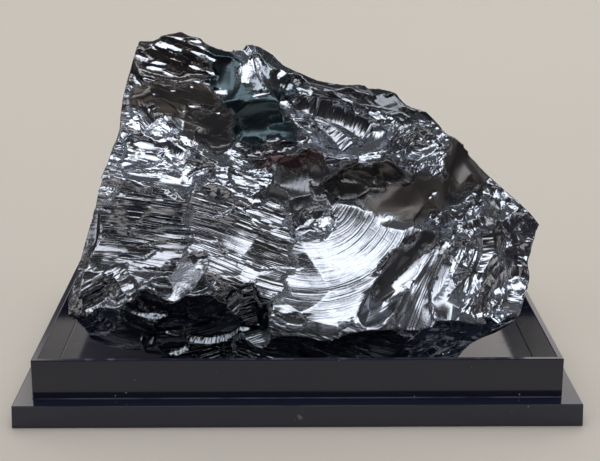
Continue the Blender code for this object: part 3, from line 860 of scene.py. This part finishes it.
    def chip_away(self, skin: Skin) -> int:
        """Strikes each patch's flakes and then the scars of their own.

        Args:
            skin: The surface to strike.

        Returns:
            How many chips there are.
        """
        base, normals = skin.points.copy(), skin.normals.copy()
        skin.get_ready()
        total = 0
        for number, patch in enumerate(self.patches):
            members = np.flatnonzero((self.which == number) & (np.abs(normals[:, 2]) > self.least_facing))
            if not len(members) or not patch.zone.flakes.count:
                continue
            chance = np.random.default_rng(self.seed + number)
            for index in chance.choice(members, patch.zone.flakes.count):
                skin.strike(self.flake(chance, patch, self.place[index], base[index], normals[index]))
                total += 1
        self.clean = np.zeros(len(skin.points), dtype=bool)
        for scar in SCARS:
            self.clean[skin.strike(scar.chip(skin))] = scar.bright
        skin.normals = skin.read_normals()
        return total + len(SCARS)

    def describe(self) -> dict[str, np.ndarray]:
        """Gathers what the finish needs to know of each point.

        Returns:
            The attributes by name, three numbers for each point. grain is its place along and over the
            fine lines, and its patch. finish is the lines' height and rise, and the hackle. tint is the
            shade, painted shade or painted highlight, the tint, a painted reflection colour except the
            crevice's plum, and the satin.
        """
        shape = (len(self.which), 3)
        grain, finish, tint = np.zeros(shape), np.zeros(shape), np.zeros(shape)
        for number, patch in enumerate(self.patches):
            members = self.which == number
            striae, tone = patch.zone.striae, patch.zone.tone
            along, over = patch.zone.grain_at(*self.place[members].T)
            patch_number = np.full(len(along), number * self.patch_gap)
            grain[members] = np.stack((along, over / striae.pitch, patch_number), axis=1)
            finish[members] = (striae.steep * striae.pitch, striae.rise, patch.zone.hackle)
            tint[members] = (tone.shade, tone.tint, tone.satin)
        # bright scars keep the plain grey, free of their zone's painted shade and painted reflection colour
        tint[self.clean] = (1.0, 0.0, 0.0)
        finish[self.clean] *= (self.clean_lines, 1.0, 0.0)
        return {"grain": grain, "finish": finish, "tint": tint}


# ---------------------------------------------------------------- node helpers


@dataclass(frozen=True, eq=False)
class Value:
    """A socket of a node tree that does sums with ordinary operators."""

    tree: bpy.types.NodeTree
    socket: bpy.types.NodeSocket

    def math(self, operation: str, *others: object) -> "Value":
        """A Math node on this value and others."""
        return Nodes(self.tree).math(operation, self, *others)

    def __add__(self, other: object) -> "Value":
        """This plus other."""
        return self.math("ADD", other)

    __radd__ = __add__

    def __mul__(self, other: object) -> "Value":
        """This times other."""
        return self.math("MULTIPLY", other)

    __rmul__ = __mul__

    def __sub__(self, other: object) -> "Value":
        """This minus other."""
        return self.math("SUBTRACT", other)

    def __rsub__(self, other: object) -> "Value":
        """Other minus this."""
        return Nodes(self.tree).math("SUBTRACT", other, self)

    def __truediv__(self, other: object) -> "Value":
        """This over other."""
        return self.math("DIVIDE", other)

    def __rtruediv__(self, other: object) -> "Value":
        """Other over this."""
        return Nodes(self.tree).math("DIVIDE", other, self)

    def step(self, low: float, high: float, smooth: bool = True) -> "Value":
        """0 below low and 1 above high, with or without an eased start and end."""
        kind = "SMOOTHSTEP" if smooth else "LINEAR"
        return Nodes(self.tree).add("ShaderNodeMapRange", {"interpolation_type": kind},
                                    {"Value": self, "From Min": low, "From Max": high})

    def teeth(self, rise: "Value") -> "Value":
        """A sawtooth from -0.5 to 0.5 that climbs over the share rise of each unit, then falls."""
        place = self.math("FRACT")
        return (place / rise).math("MINIMUM", (1.0 - place) / (1.0 - rise)) - 0.5


@dataclass(frozen=True)
class Nodes:
    """Adds nodes to a tree."""

    tree: bpy.types.NodeTree

    def node(self, kind: str, settings: dict | None = None, values: dict | None = None) -> bpy.types.Node:
        """Adds a node of any kind.

        Args:
            kind: The node's type.
            settings: Its settings by name, which are set first.
            values: The numbers, or the values to link, by the name or number of the socket.

        Returns:
            The node.
        """
        made = self.tree.nodes.new(kind)
        for name, setting in (settings or {}).items():
            setattr(made, name, setting)
        for name, value in (values or {}).items():
            if isinstance(value, Value):
                self.tree.links.new(value.socket, made.inputs[name])
            else:
                made.inputs[name].default_value = value
        return made

    def add(self, kind: str, settings: dict | None = None, values: dict | None = None,
            output: int | str = 0) -> Value:
        """Adds a node of any kind for one of its outputs.

        Args:
            kind: The node's type.
            settings: Its settings by name, which are set first.
            values: The numbers, or the values to link, by the name or number of the socket.
            output: The name or number of the output.

        Returns:
            The output.
        """
        return Value(self.tree, self.node(kind, settings, values).outputs[output])

    def math(self, operation: str, *values: object) -> Value:
        """A Math node on numbers and values."""
        return self.add("ShaderNodeMath", {"operation": operation}, dict(enumerate(values)))

    def vector(self, operation: str, *values: object, output: str = "Vector") -> Value:
        """A Vector Math node on vectors."""
        return self.add("ShaderNodeVectorMath", {"operation": operation}, dict(enumerate(values)), output)

    def scaled(self, vector: object, scale: object) -> Value:
        """A vector or a colour times a number."""
        return self.add("ShaderNodeVectorMath", {"operation": "SCALE"}, {0: vector, "Scale": scale})

    def dot(self, first: object, second: object) -> Value:
        """The dot product of two vectors."""
        return self.vector("DOT_PRODUCT", first, second, output="Value")

    def length(self, vector: Value) -> Value:
        """The length of a vector."""
        return self.vector("LENGTH", vector, output="Value")

    def attribute(self, name: str) -> Value:
        """A vector attribute of the mesh."""
        return self.add("ShaderNodeAttribute", {"attribute_name": name}, output="Vector")

    def place(self) -> Value:
        """The place on the object, in metres."""
        return self.add("ShaderNodeTexCoord", output="Object")

    def parts(self, vector: Value) -> list[Value]:
        """The three parts of a vector."""
        made = self.node("ShaderNodeSeparateXYZ", values={0: vector})
        return [Value(self.tree, socket) for socket in made.outputs]

    def point(self, x: object, y: object, z: object) -> Value:
        """A vector from three numbers or values."""
        return self.add("ShaderNodeCombineXYZ", values={0: x, 1: y, 2: z})

    def blend(self, share: Value, first: object, second: object) -> Value:
        """A colour between two."""
        return self.add("ShaderNodeMix", {"data_type": "RGBA"}, {0: share, 6: first, 7: second}, 2)

    def bump(self, height: Value) -> Value:
        """The normal of a surface with a relief, whose height is in metres."""
        return self.add("ShaderNodeBump", values={"Height": height, "Distance": 1.0, "Strength": 1.0})

    def noise(self, where: Value, scale: float, detail: float = 2.0, rough: float = 0.5) -> Value:
        """A noise between 0 and 1."""
        return self.add("ShaderNodeTexNoise", values={"Vector": where, "Scale": scale, "Detail": detail,
                                                      "Roughness": rough})

    def facets(self, place: Value, scale: float) -> Value:
        """Lays out little flat facets, each tilted its own way.

        Args:
            place: Where they are looked up.
            scale: How many there are to a unit of place.

        Returns:
            Their height for a tilt of 1, in the units of place.
        """
        cell = self.node("ShaderNodeTexVoronoi", {"feature": "F1"}, {"Vector": place, "Scale": scale})
        tilt = self.vector("SUBTRACT", Value(self.tree, cell.outputs["Color"]), (0.5, 0.5, 0.5))
        return self.dot(tilt, self.vector("SUBTRACT", place, Value(self.tree, cell.outputs["Position"])))


# ---------------------------------------------------------------- the finishes


@dataclass(frozen=True)
class Cloud:
    """A noise that covers some places and not others: its scale, and the levels it rises between."""

    scale: float
    levels: Pair
    detail: float = 2.0

    def cover(self, nodes: Nodes, where: Value) -> Value:
        """How far it covers a place, from 0 to 1."""
        return nodes.noise(where, self.scale, self.detail).step(*self.levels)


@dataclass(frozen=True)
class FineLines:
    """Lines one unit apart that wander, and that break off where their own noise is low.

    own_patch keeps that noise apart from the one that they wander by.
    """

    wander: float = 4.0
    wander_along: float = 0.03
    wander_over: float = 0.2
    wander_rough: float = 0.45
    own_along: float = 0.022
    own_over: float = 1.7
    own_patch: float = 5.0
    gaps: Pair = (0.42, 0.66)

    def relief(self, nodes: Nodes, along: Value, over: Value, patch: Value, rise: Value) -> Value:
        """Draws the lines.

        Args:
            nodes: The tree they are drawn in.
            along: The place along them.
            over: The place over them, in lines.
            patch: A number that sets one patch's lines apart from another's.
            rise: The share of a line that climbs.

        Returns:
            Their height, from -0.5 to 0.5.
        """
        slow = nodes.point(along * self.wander_along, over * self.wander_over, patch)
        place = over + nodes.noise(slow, 1.0, 2.0, self.wander_rough) * self.wander
        line = place.math("FLOOR") * self.own_over
        own = nodes.noise(nodes.point(along * self.own_along, line, patch + self.own_patch), 1.0, 1.0)
        return place.teeth(rise) * own.step(*self.gaps, smooth=False)


@dataclass(frozen=True)
class SiliconFinish:
    """Bare broken silicon: a grey mirror with fine lines and splinters, its colour darkened, lightened and
    tinted by zone as painted shade, painted highlight and painted reflection.

    Heights are millimetres. Finer lines and cross lines lie over the main ones, in patches of their own, and
    crowd is where they thin out, down to thinnest. The scales of clouds are to the metre. A blur is what
    something adds to the roughness.
    """

    grey: Colour = (0.50, 0.525, 0.585, 1.0)
    # teal and brown are painted reflection colours, and plum the colour given to the crevice
    teal: Colour = (0.21, 0.33, 0.38, 1.0)
    brown: Colour = (0.43, 0.375, 0.335, 1.0)
    plum: Colour = (0.40, 0.25, 0.29, 1.0)
    lines: FineLines = FineLines()
    fine_crowding: float = 2.7
    fine_height: float = 0.16
    fine_patch: float = 9.0
    cross_crowding: float = 1.5
    cross_height: float = 0.012
    cross_patch: float = 17.0
    crowd: Cloud = Cloud(130.0, (0.36, 0.62))
    thinnest: float = 0.15
    splinter_length: float = 2.0
    splinter_patch: float = 5.0
    splinter_scale: float = 0.62
    crumb_scale: float = 1.9
    crumb_share: float = 0.6
    splinter_height: float = 1.1
    polish: float = 0.045
    cloud: Cloud = Cloud(160.0, (0.3, 0.8), 3.0)
    cloud_blur: float = 0.10
    hackle_blur: float = 0.04
    satin_blur: float = 0.5

    def relief(self, nodes: Nodes, place: Value) -> Value:
        """Shapes the finest relief.

        Args:
            nodes: The tree it is made in.
            place: The place on the chunk.

        Returns:
            Its height, in metres.
        """
        along, over, patch = nodes.parts(nodes.attribute("grain"))
        steep, rise, hackle = nodes.parts(nodes.attribute("finish"))
        main = self.lines.relief(nodes, along, over, patch, rise)
        fine = self.lines.relief(nodes, along, over * self.fine_crowding, patch + self.fine_patch, rise)
        cross = self.lines.relief(nodes, over, along * self.cross_crowding, patch + self.cross_patch, rise)
        crowd = self.crowd.cover(nodes, place) * (1.0 - self.thinnest) + self.thinnest
        striae = ((main + fine * self.fine_height) * steep + cross * self.cross_height) * crowd * MM
        shards = nodes.point(along * (1.0 / self.splinter_length), over, patch * self.splinter_patch)
        crumbs = nodes.facets(shards, self.crumb_scale) * self.crumb_share
        splinters = nodes.facets(shards, self.splinter_scale) + crumbs
        return striae + splinters * hackle * self.splinter_height * MM

    def painted_tone(self, nodes: Nodes, shade: Value, tint: Value) -> Value:
        """Colours the surface, painting in shade, highlight and reflection colour.

        Args:
            nodes: The tree it is made in.
            shade: How much it scales the colour: painted shade below 1 and painted highlight above 1.
            tint: -1 for a painted teal reflection, 0 for grey, 1 for a painted brown reflection and 2 for
                plum.

        Returns:
            Its colour.
        """
        painted_tone = nodes.blend(tint.step(0.0, 1.0, smooth=False), self.grey, self.brown)
        painted_tone = nodes.blend(tint.step(1.0, 2.0, smooth=False), painted_tone, self.plum)
        painted_tone = nodes.blend((tint * -1.0).step(0.0, 1.0, smooth=False), painted_tone, self.teal)
        return nodes.scaled(painted_tone, shade)

    def build(self) -> bpy.types.Material:
        """Makes the material.

        Returns:
            The material, which reads the attributes grain, finish and tint.
        """
        made = bpy.data.materials.new("silicon_fracture")
        made.use_nodes = True
        tree = made.node_tree
        nodes = Nodes(tree)
        shader = tree.nodes["Principled BSDF"]
        shader.inputs["Metallic"].default_value = 1.0
        place = nodes.place()
        hackle = nodes.parts(nodes.attribute("finish"))[2]
        shade, tint, satin = nodes.parts(nodes.attribute("tint"))
        cloud = self.cloud.cover(nodes, place) * self.cloud_blur
        rough = cloud + self.polish + hackle * self.hackle_blur + satin * self.satin_blur
        # the base colour carries the zones' painted shade, painted highlight and painted reflections
        tree.links.new(self.painted_tone(nodes, shade, tint).socket, shader.inputs["Base Color"])
        tree.links.new(rough.socket, shader.inputs["Roughness"])
        tree.links.new(nodes.bump(self.relief(nodes, place)).socket, shader.inputs["Normal"])
        return made


@dataclass(frozen=True)
class TrayFinish:
    """Glossy black moulded plastic with dust, smears, fine scratches, a painted highlight along its edges
    and a gate mark.

    foot and wall are the outer half sizes of the foot and the walls, and step is the height between them.
    edge is how far the painted edge highlight reaches, gate where the moulding's gate was broken off the
    foot's front, across and up, and gate_radius its size. All of them are metres, the heights of the relief
    are millimetres, and scales are to the metre. gate_squash is how much shorter the gate is from front to
    back and up than it is across. A blur is what something adds to the roughness.
    """

    foot: Pair
    wall: Pair
    step: float
    black: Colour = (0.011, 0.012, 0.026, 1.0)
    # a painted highlight along the edges, lighter than the black
    painted_highlight_colour: Colour = (0.085, 0.09, 0.11, 1.0)
    dust: Colour = (0.30, 0.29, 0.27, 1.0)
    dust_scale: float = 330.0
    dust_size: Pair = (0.04, 0.075)
    dusty: Cloud = Cloud(60.0, (0.46, 0.6))
    dust_blur: float = 0.4
    dust_height: float = 0.02
    edge: float = 0.28 * MM
    # where along the edges the painted highlight shows
    painted_edge_highlight: Cloud = Cloud(120.0, (0.25, 0.6), 3.0)
    gate: Pair = (0.0, 0.0023)
    gate_radius: float = 1.3 * MM
    gate_squash: Pair = (3.0, 1.3)
    gate_crumbs: Cloud = Cloud(900.0, (0.45, 0.6))
    gate_paleness: float = 0.35
    gate_blur: float = 0.3
    gate_height: float = 0.05
    scratch: Cloud = Cloud(1.0, (0.66, 0.70), 1.0)
    scratch_scale: Triple = (40.0, 700.0, 60.0)
    scratch_lean: float = 900.0
    scratch_blur: float = 0.06
    polish: float = 0.06
    smears: float = 0.11
    smear_scale: float = 35.0
    ripple_scale: float = 45.0
    ripple_height: float = 0.03
    refraction: float = 1.59

    def edges(self, nodes: Nodes, place: Value) -> Value:
        """Finds the foot's upper edge and the corner between the foot and the walls, where a highlight is
        painted.

        Args:
            nodes: The tree it is made in.
            place: The place on the tray.

        Returns:
            1 along both, and 0 elsewhere.
        """
        x, y, z = nodes.parts(place)
        x, y = x.math("ABSOLUTE"), y.math("ABSOLUTE")
        to_foot = (self.foot[0] - x).math("MINIMUM", self.foot[1] - y)
        to_wall = (x - self.wall[0]).math("MAXIMUM", y - self.wall[1]).math("ABSOLUTE")
        level = (z - self.step).math("ABSOLUTE")
        nearest = to_foot.math("MINIMUM", to_wall).math("MAXIMUM", level)
        return 1.0 - nearest.step(0.3 * self.edge, self.edge)

    def gate_mark(self, nodes: Nodes, place: Value) -> Value:
        """Finds the broken-off gate in the middle of the foot's front.

        Args:
            nodes: The tree it is made in.
            place: The place on the tray.

        Returns:
            1 on its crumbs, and 0 elsewhere.
        """
        x, y, z = nodes.parts(place)
        deep, high = self.gate_squash
        offset = nodes.point(x - self.gate[0], (y + self.foot[1]) * deep, (z - self.gate[1]) * high)
        crumbs = self.gate_crumbs.cover(nodes, place)
        return (1.0 - nodes.length(offset).step(0.5 * self.gate_radius, self.gate_radius)) * crumbs

    def specks(self, nodes: Nodes, place: Value) -> Value:
        """Scatters dust, more in some parts than in others.

        Args:
            nodes: The tree it is made in.
            place: The place on the tray.

        Returns:
            1 on a speck, and 0 elsewhere.
        """
        cell = nodes.add("ShaderNodeTexVoronoi", {"feature": "F1"},
                         {"Vector": place, "Scale": self.dust_scale}, "Distance")
        return (1.0 - cell.step(*self.dust_size)) * self.dusty.cover(nodes, place)

    def scratches(self, nodes: Nodes, place: Value) -> Value:
        """Draws fine scratches, which run along the tray's sides.

        Args:
            nodes: The tree it is made in.
            place: The place on the tray.

        Returns:
            1 on a scratch, and 0 elsewhere.
        """
        x, y, z = nodes.parts(place)
        along, over, up = self.scratch_scale
        return self.scratch.cover(nodes, nodes.point(x * along + z * self.scratch_lean, y * over, z * up))

    def build(self) -> bpy.types.Material:
        """Makes the material.

        Returns:
            The material.
        """
        made = bpy.data.materials.new("black_tray_plastic")
        made.use_nodes = True
        tree = made.node_tree
        nodes = Nodes(tree)
        shader = tree.nodes["Principled BSDF"]
        shader.inputs["IOR"].default_value = self.refraction
        place = nodes.place()
        dust, gate = self.specks(nodes, place), self.gate_mark(nodes, place)
        # painted highlight: a lighter colour in patches along the foot's upper edge and the foot-wall
        # corner, for the light the rounded edges catch
        painted_edge_highlight = self.edges(nodes, place) * self.painted_edge_highlight.cover(nodes, place)
        colour = nodes.blend(painted_edge_highlight, self.black, self.painted_highlight_colour)
        colour = nodes.blend(dust.math("MAXIMUM", gate * self.gate_paleness), colour, self.dust)
        rough = nodes.noise(place, self.smear_scale, 4.0, 0.6) * self.smears + self.polish
        rough = rough + dust * self.dust_blur + self.scratches(nodes, place) * self.scratch_blur
        rough = rough + gate * self.gate_blur
        ripple = nodes.noise(place, self.ripple_scale) * self.ripple_height
        relief = (ripple + dust * self.dust_height + gate * self.gate_height) * MM
        tree.links.new(colour.socket, shader.inputs["Base Color"])
        tree.links.new(rough.socket, shader.inputs["Roughness"])
        tree.links.new(nodes.bump(relief).socket, shader.inputs["Normal"])
        return made


@dataclass(frozen=True)
class FloorFinish:
    """A matt pale floor that fades out at its rim, and that is dim in mirrors away from the tray.

    fade is where it fades, as shares of its radius, and near the distances from the tray, in metres, over
    which its reflection loses the share dim.
    """

    radius: float
    colour: Colour = (0.47, 0.44, 0.40, 1.0)
    roughness: float = 0.7
    gloss: float = 0.2
    fade: Pair = (0.90, 0.995)
    near: Pair = (0.10, 0.17)
    dim: float = 0.7

    def build(self) -> bpy.types.Material:
        """Makes the material.

        Returns:
            The material.
        """
        made = bpy.data.materials.new("studio_floor")
        made.use_nodes = True
        tree = made.node_tree
        nodes = Nodes(tree)
        shader = tree.nodes["Principled BSDF"]
        shader.inputs["Base Color"].default_value = self.colour
        shader.inputs["Roughness"].default_value = self.roughness
        shader.inputs["Specular IOR Level"].default_value = self.gloss
        mirrored = nodes.add("ShaderNodeLightPath", output="Is Glossy Ray")
        from_tray = nodes.length(nodes.add("ShaderNodeNewGeometry", output="Position"))
        far = nodes.length(nodes.place()).step(self.fade[0] * self.radius, self.fade[1] * self.radius)
        alpha = (1.0 - far) * (1.0 - mirrored * from_tray.step(*self.near) * self.dim)
        tree.links.new(alpha.socket, shader.inputs["Alpha"])
        return made


# ---------------------------------------------------------------- the pieces


@dataclass
class SiliconChunk:
    """The lump: the CAD solid, smoothed between its ridges and struck with the fine fracture surface.

    weld is how near points are merged, in metres, and voxel the remeshing's step. sharp is the angle of an
    edge that stays a ridge, ridge how far from one the smoothing has its full strength, and rounds how long
    the smoothing goes on.
    """

    node: bpy.types.Object
    slab: Slab = Slab()
    weld: float = 1e-6
    voxel: float = 0.3
    most_triangles: int = 190000
    sharp: float = 17.0
    ridge: float = 1.3
    rounds: int = 40
    finish: SiliconFinish = SiliconFinish()
    chips: int = field(init=False, default=0)

    def copy(self) -> bpy.types.Object:
        """Copies the CAD solid and welds its loose triangles.

        Returns:
            A new object at the origin.
        """
        bm = bmesh.new()
        bm.from_mesh(self.node.data)
        bmesh.ops.remove_doubles(bm, verts=bm.verts, dist=self.weld)
        mesh = bpy.data.meshes.new("silicon_lump")
        bm.to_mesh(mesh)
        bm.free()
        made = bpy.data.objects.new("silicon_lump", mesh)
        bpy.context.scene.collection.objects.link(made)
        return made

    def apply(self, piece: bpy.types.Object, kind: str, settings: dict) -> None:
        """Puts a modifier on the piece and applies it.

        Args:
            piece: The object.
            kind: The modifier's type.
            settings: Its settings by name.
        """
        modifier = piece.modifiers.new(kind.lower(), kind)
        for name, setting in settings.items():
            setattr(modifier, name, setting)
        graph = bpy.context.evaluated_depsgraph_get()
        mesh = bpy.data.meshes.new_from_object(piece.evaluated_get(graph))
        piece.modifiers.clear()
        piece.data = mesh

    def strike(self, piece: bpy.types.Object, faceted: bpy.types.Mesh) -> None:
        """Smooths the surface, chips it away, and writes what the finish needs as attributes.

        Args:
            piece: The remeshed lump.
            faceted: The faceted solid, which says where the ridges are.
        """
        skin = Skin(piece.data, self.slab)
        skin.relax(skin.freedom(faceted, self.sharp, self.ridge), self.rounds)
        fracture = Fracture(FRONT_ZONES)
        fracture.sort(skin)
        self.chips = fracture.chip_away(skin)
        skin.write()
        for name, values in fracture.describe().items():
            made = piece.data.attributes.new(name, "FLOAT_VECTOR", "POINT")
            made.data.foreach_set("vector", values.astype(np.float32).ravel())

    def build(self) -> bpy.types.Object:
        """Makes the lump and dresses it.

        Returns:
            The piece, which replaces the CAD solid.
        """
        piece = self.copy()
        faceted = piece.data
        self.apply(piece, "REMESH", {"mode": "VOXEL", "voxel_size": self.voxel * MM})
        self.strike(piece, faceted)
        triangles = 2 * len(piece.data.polygons)
        self.apply(piece, "DECIMATE", {"ratio": min(1.0, self.most_triangles / triangles)})
        piece.data.shade_smooth()
        piece.data.materials.clear()
        piece.data.materials.append(self.finish.build())
        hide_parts("silicon_chunk")
        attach(piece, "root")
        return piece

    def report(self) -> str:
        """What was done to the piece."""
        return f"struck with {self.chips} chips and dressed as broken silicon"


@dataclass
class Tray:
    """The tray keeps its CAD shape and gets its plastic. Its foot reaches out past the walls."""

    node: bpy.types.Object
    foot_reach: float = 4.2 * MM
    foot_height: float = 5.3 * MM

    def build(self) -> bpy.types.Object:
        """Dresses the tray.

        Returns:
            The CAD node.
        """
        low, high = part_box("display_tray")
        foot = (high[0], high[1])
        wall = (high[0] - self.foot_reach, high[1] - self.foot_reach)
        plastic = TrayFinish(foot, wall, low[2] + self.foot_height).build()
        if not self.node.material_slots:
            self.node.data.materials.append(plastic)
        for slot in self.node.material_slots:
            slot.material = plastic
        return self.node

    def report(self) -> str:
        """What was done to the piece."""
        return "its own solid, dressed as black plastic"


# ---------------------------------------------------------------- the studio


def heading_of(bearing: float, height: float) -> Vector:
    """Finds a direction in the world.

    Args:
        bearing: The angle from straight in front towards the right.
        height: The angle above the horizon.

    Returns:
        A unit vector.
    """
    turn, rise = math.radians(bearing), math.radians(height)
    return Vector((math.sin(turn) * math.cos(rise), -math.cos(turn) * math.cos(rise), math.sin(rise)))


def placed(name: str, data: bpy.types.ID) -> bpy.types.Object:
    """Puts a mesh, a light or a camera in the scene.

    Args:
        name: The object's name.
        data: What it shows.

    Returns:
        The new object.
    """
    made = bpy.data.objects.new(name, data)
    bpy.context.scene.collection.objects.link(made)
    return made


@dataclass(frozen=True)
class View:
    """The camera: its lens and sensor in millimetres, and its place in the world in millimetres.

    tilt is how far it looks down, and roll and turn how far it leans and looks to the side.
    """

    lens: float = 78.0
    sensor: float = 36.0
    place: Triple = (-2.7, -315.9, 125.2)
    tilt: float = 16.45
    roll: float = -0.05
    turn: float = -0.65
    nearest: float = 0.01

    def build(self) -> None:
        """Makes the camera the scene's own."""
        data = bpy.data.cameras.new("camera")
        data.sensor_width = self.sensor
        data.lens = self.lens
        data.clip_start = self.nearest
        made = placed("camera", data)
        made.location = Vector(self.place) * MM
        made.rotation_euler = [math.radians(angle) for angle in (90 - self.tilt, self.roll, self.turn)]
        bpy.context.scene.camera = made


@dataclass(frozen=True)
class Floor:
    """A pale disc, in metres, whose middle lies behind the tray."""

    radius: float = 1.5
    centre: Triple = (0.0, 1.30, 0.0)
    segments: int = 96

    def build(self) -> None:
        """Makes the disc."""
        bm = bmesh.new()
        bmesh.ops.create_circle(bm, cap_ends=True, segments=self.segments, radius=self.radius)
        mesh = bpy.data.meshes.new("studio_floor")
        bm.to_mesh(mesh)
        bm.free()
        mesh.materials.append(FloorFinish(self.radius).build())
        made = placed("studio_floor", mesh)
        made.location = self.centre


@dataclass(frozen=True)
class Lamp:
    """A broad soft lamp behind and above that lights the floor and isn't seen in reflections."""

    watts: float = 31.0
    size: float = 2.2
    colour: Triple = (1.0, 0.98, 0.95)
    bearing: float = 180.0
    height: float = 72.0
    distance: float = 1.7

    def build(self) -> None:
        """Makes the lamp and turns it to the tray."""
        data = bpy.data.lights.new("fill", "AREA")
        data.size = self.size
        data.energy = self.watts
        data.color = self.colour
        made = placed("fill", data)
        way = heading_of(self.bearing, self.height)
        made.location = way * self.distance
        made.rotation_euler = way.to_track_quat("Z", "Y").to_euler()
        made.visible_glossy = False


COOL_WHITE = (0.95, 0.975, 1.0)
WARM_WHITE = (1.0, 0.95, 0.90)


@dataclass(frozen=True)
class Glow:
    """A large soft light far away, brightest in its middle.

    bearing and height place it, wide and high are its half sizes, and core is the share of it that is evenly
    bright.
    """

    bearing: float
    height: float
    wide: float
    high: float
    brightness: float
    core: float
    colour: Triple = COOL_WHITE

    def shine(self, nodes: Nodes, heading: Value) -> Value:
        """Works out its light.

        Args:
            nodes: The world's tree.
            heading: The way a ray goes.

        Returns:
            How bright it is towards that heading.
        """
        middle = heading_of(self.bearing, self.height)
        right = heading_of(self.bearing + 90.0, 0.0)
        top = right.cross(middle) * -1.0
        across = nodes.dot(heading, right) / math.sin(math.radians(self.wide))
        up = nodes.dot(heading, top) / math.sin(math.radians(self.high))
        spread = (across * across + up * up).math("SQRT")
        ahead = nodes.dot(heading, middle).step(0.0, 0.05)
        return (1.0 - spread.step(self.core, 1.0)) * ahead * self.brightness


@dataclass(frozen=True)
class Room:
    """The world: a pale backdrop to the camera, and a dim room with soft lights to everything else.

    Each rise gives the heights, from -1 straight down to 1 straight up, between which one tone turns into
    the next.
    """

    backdrop: tuple[Colour, Colour] = ((0.42, 0.395, 0.36, 1.0), (0.58, 0.545, 0.50, 1.0))
    backdrop_rise: Pair = (-0.5, 0.3)
    walls_rise: Pair = (-0.1, 0.2)
    ceiling_rise: Pair = (0.0, 0.9)
    below: Colour = (0.026, 0.026, 0.036, 1.0)
    walls: Colour = (0.040, 0.034, 0.030, 1.0)
    ceiling: Colour = (0.12, 0.12, 0.125, 1.0)
    glows: tuple[Glow, ...] = (
        Glow(4, 49, 38, 19, 2.3, 0.35),
        Glow(-48, 36, 19, 24, 2.2, 0.3),
        Glow(47, 43, 15, 19, 2.1, 0.3),
        Glow(-84, 20, 16, 22, 1.1, 0.3),
        Glow(170, 46, 40, 14, 0.7, 0.4),
        Glow(150, 12, 40, 24, 1.25, 0.6, WARM_WHITE),
        Glow(206, 23, 15, 13, 1.6, 0.8, WARM_WHITE),
    )

    def build(self) -> None:
        """Makes the world."""
        world = bpy.data.worlds.new("studio")
        bpy.context.scene.world = world
        world.use_nodes = True
        tree = world.node_tree
        tree.nodes.clear()
        nodes = Nodes(tree)
        heading = nodes.add("ShaderNodeTexCoord", output="Generated")
        height = nodes.parts(heading)[2]
        backdrop = nodes.blend(height.step(*self.backdrop_rise), *self.backdrop)
        room = nodes.blend(height.step(*self.walls_rise), self.below, self.walls)
        room = nodes.blend(height.step(*self.ceiling_rise), room, self.ceiling)
        for glow in self.glows:
            room = nodes.vector("ADD", room, nodes.scaled(glow.colour, glow.shine(nodes, heading)))
        seen = nodes.add("ShaderNodeLightPath", output="Is Camera Ray")
        background = nodes.add("ShaderNodeBackground", values={"Color": nodes.blend(seen, room, backdrop)})
        nodes.node("ShaderNodeOutputWorld", values={"Surface": background})


@dataclass(frozen=True)
class Studio:
    """Everything round the object."""

    view: View = View()
    floor: Floor = Floor()
    room: Room = Room()
    lamp: Lamp = Lamp()

    def build(self) -> None:
        """Sets up the camera, the floor, the world and the lamp."""
        self.view.build()
        self.floor.build()
        self.room.build()
        self.lamp.build()
        bpy.context.scene.view_settings.view_transform = "Standard"

    def report(self) -> str:
        """What was set up."""
        return f"a camera, a floor, a lamp and a room with {len(self.room.glows)} glows"


def main() -> None:
    """Builds the studio and the two pieces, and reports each."""
    logging.basicConfig(level=logging.INFO, format="%(message)s")
    studio = Studio()
    studio.build()
    log.info("studio: %s", studio.report())
    for maker in (SiliconChunk(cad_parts["silicon_chunk"]), Tray(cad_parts["display_tray"])):
        piece = maker.build()
        log.info("%s: %s, %d faces", piece.name, maker.report(), len(piece.data.polygons))
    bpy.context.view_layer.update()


if __name__ == "__main__":
    main()
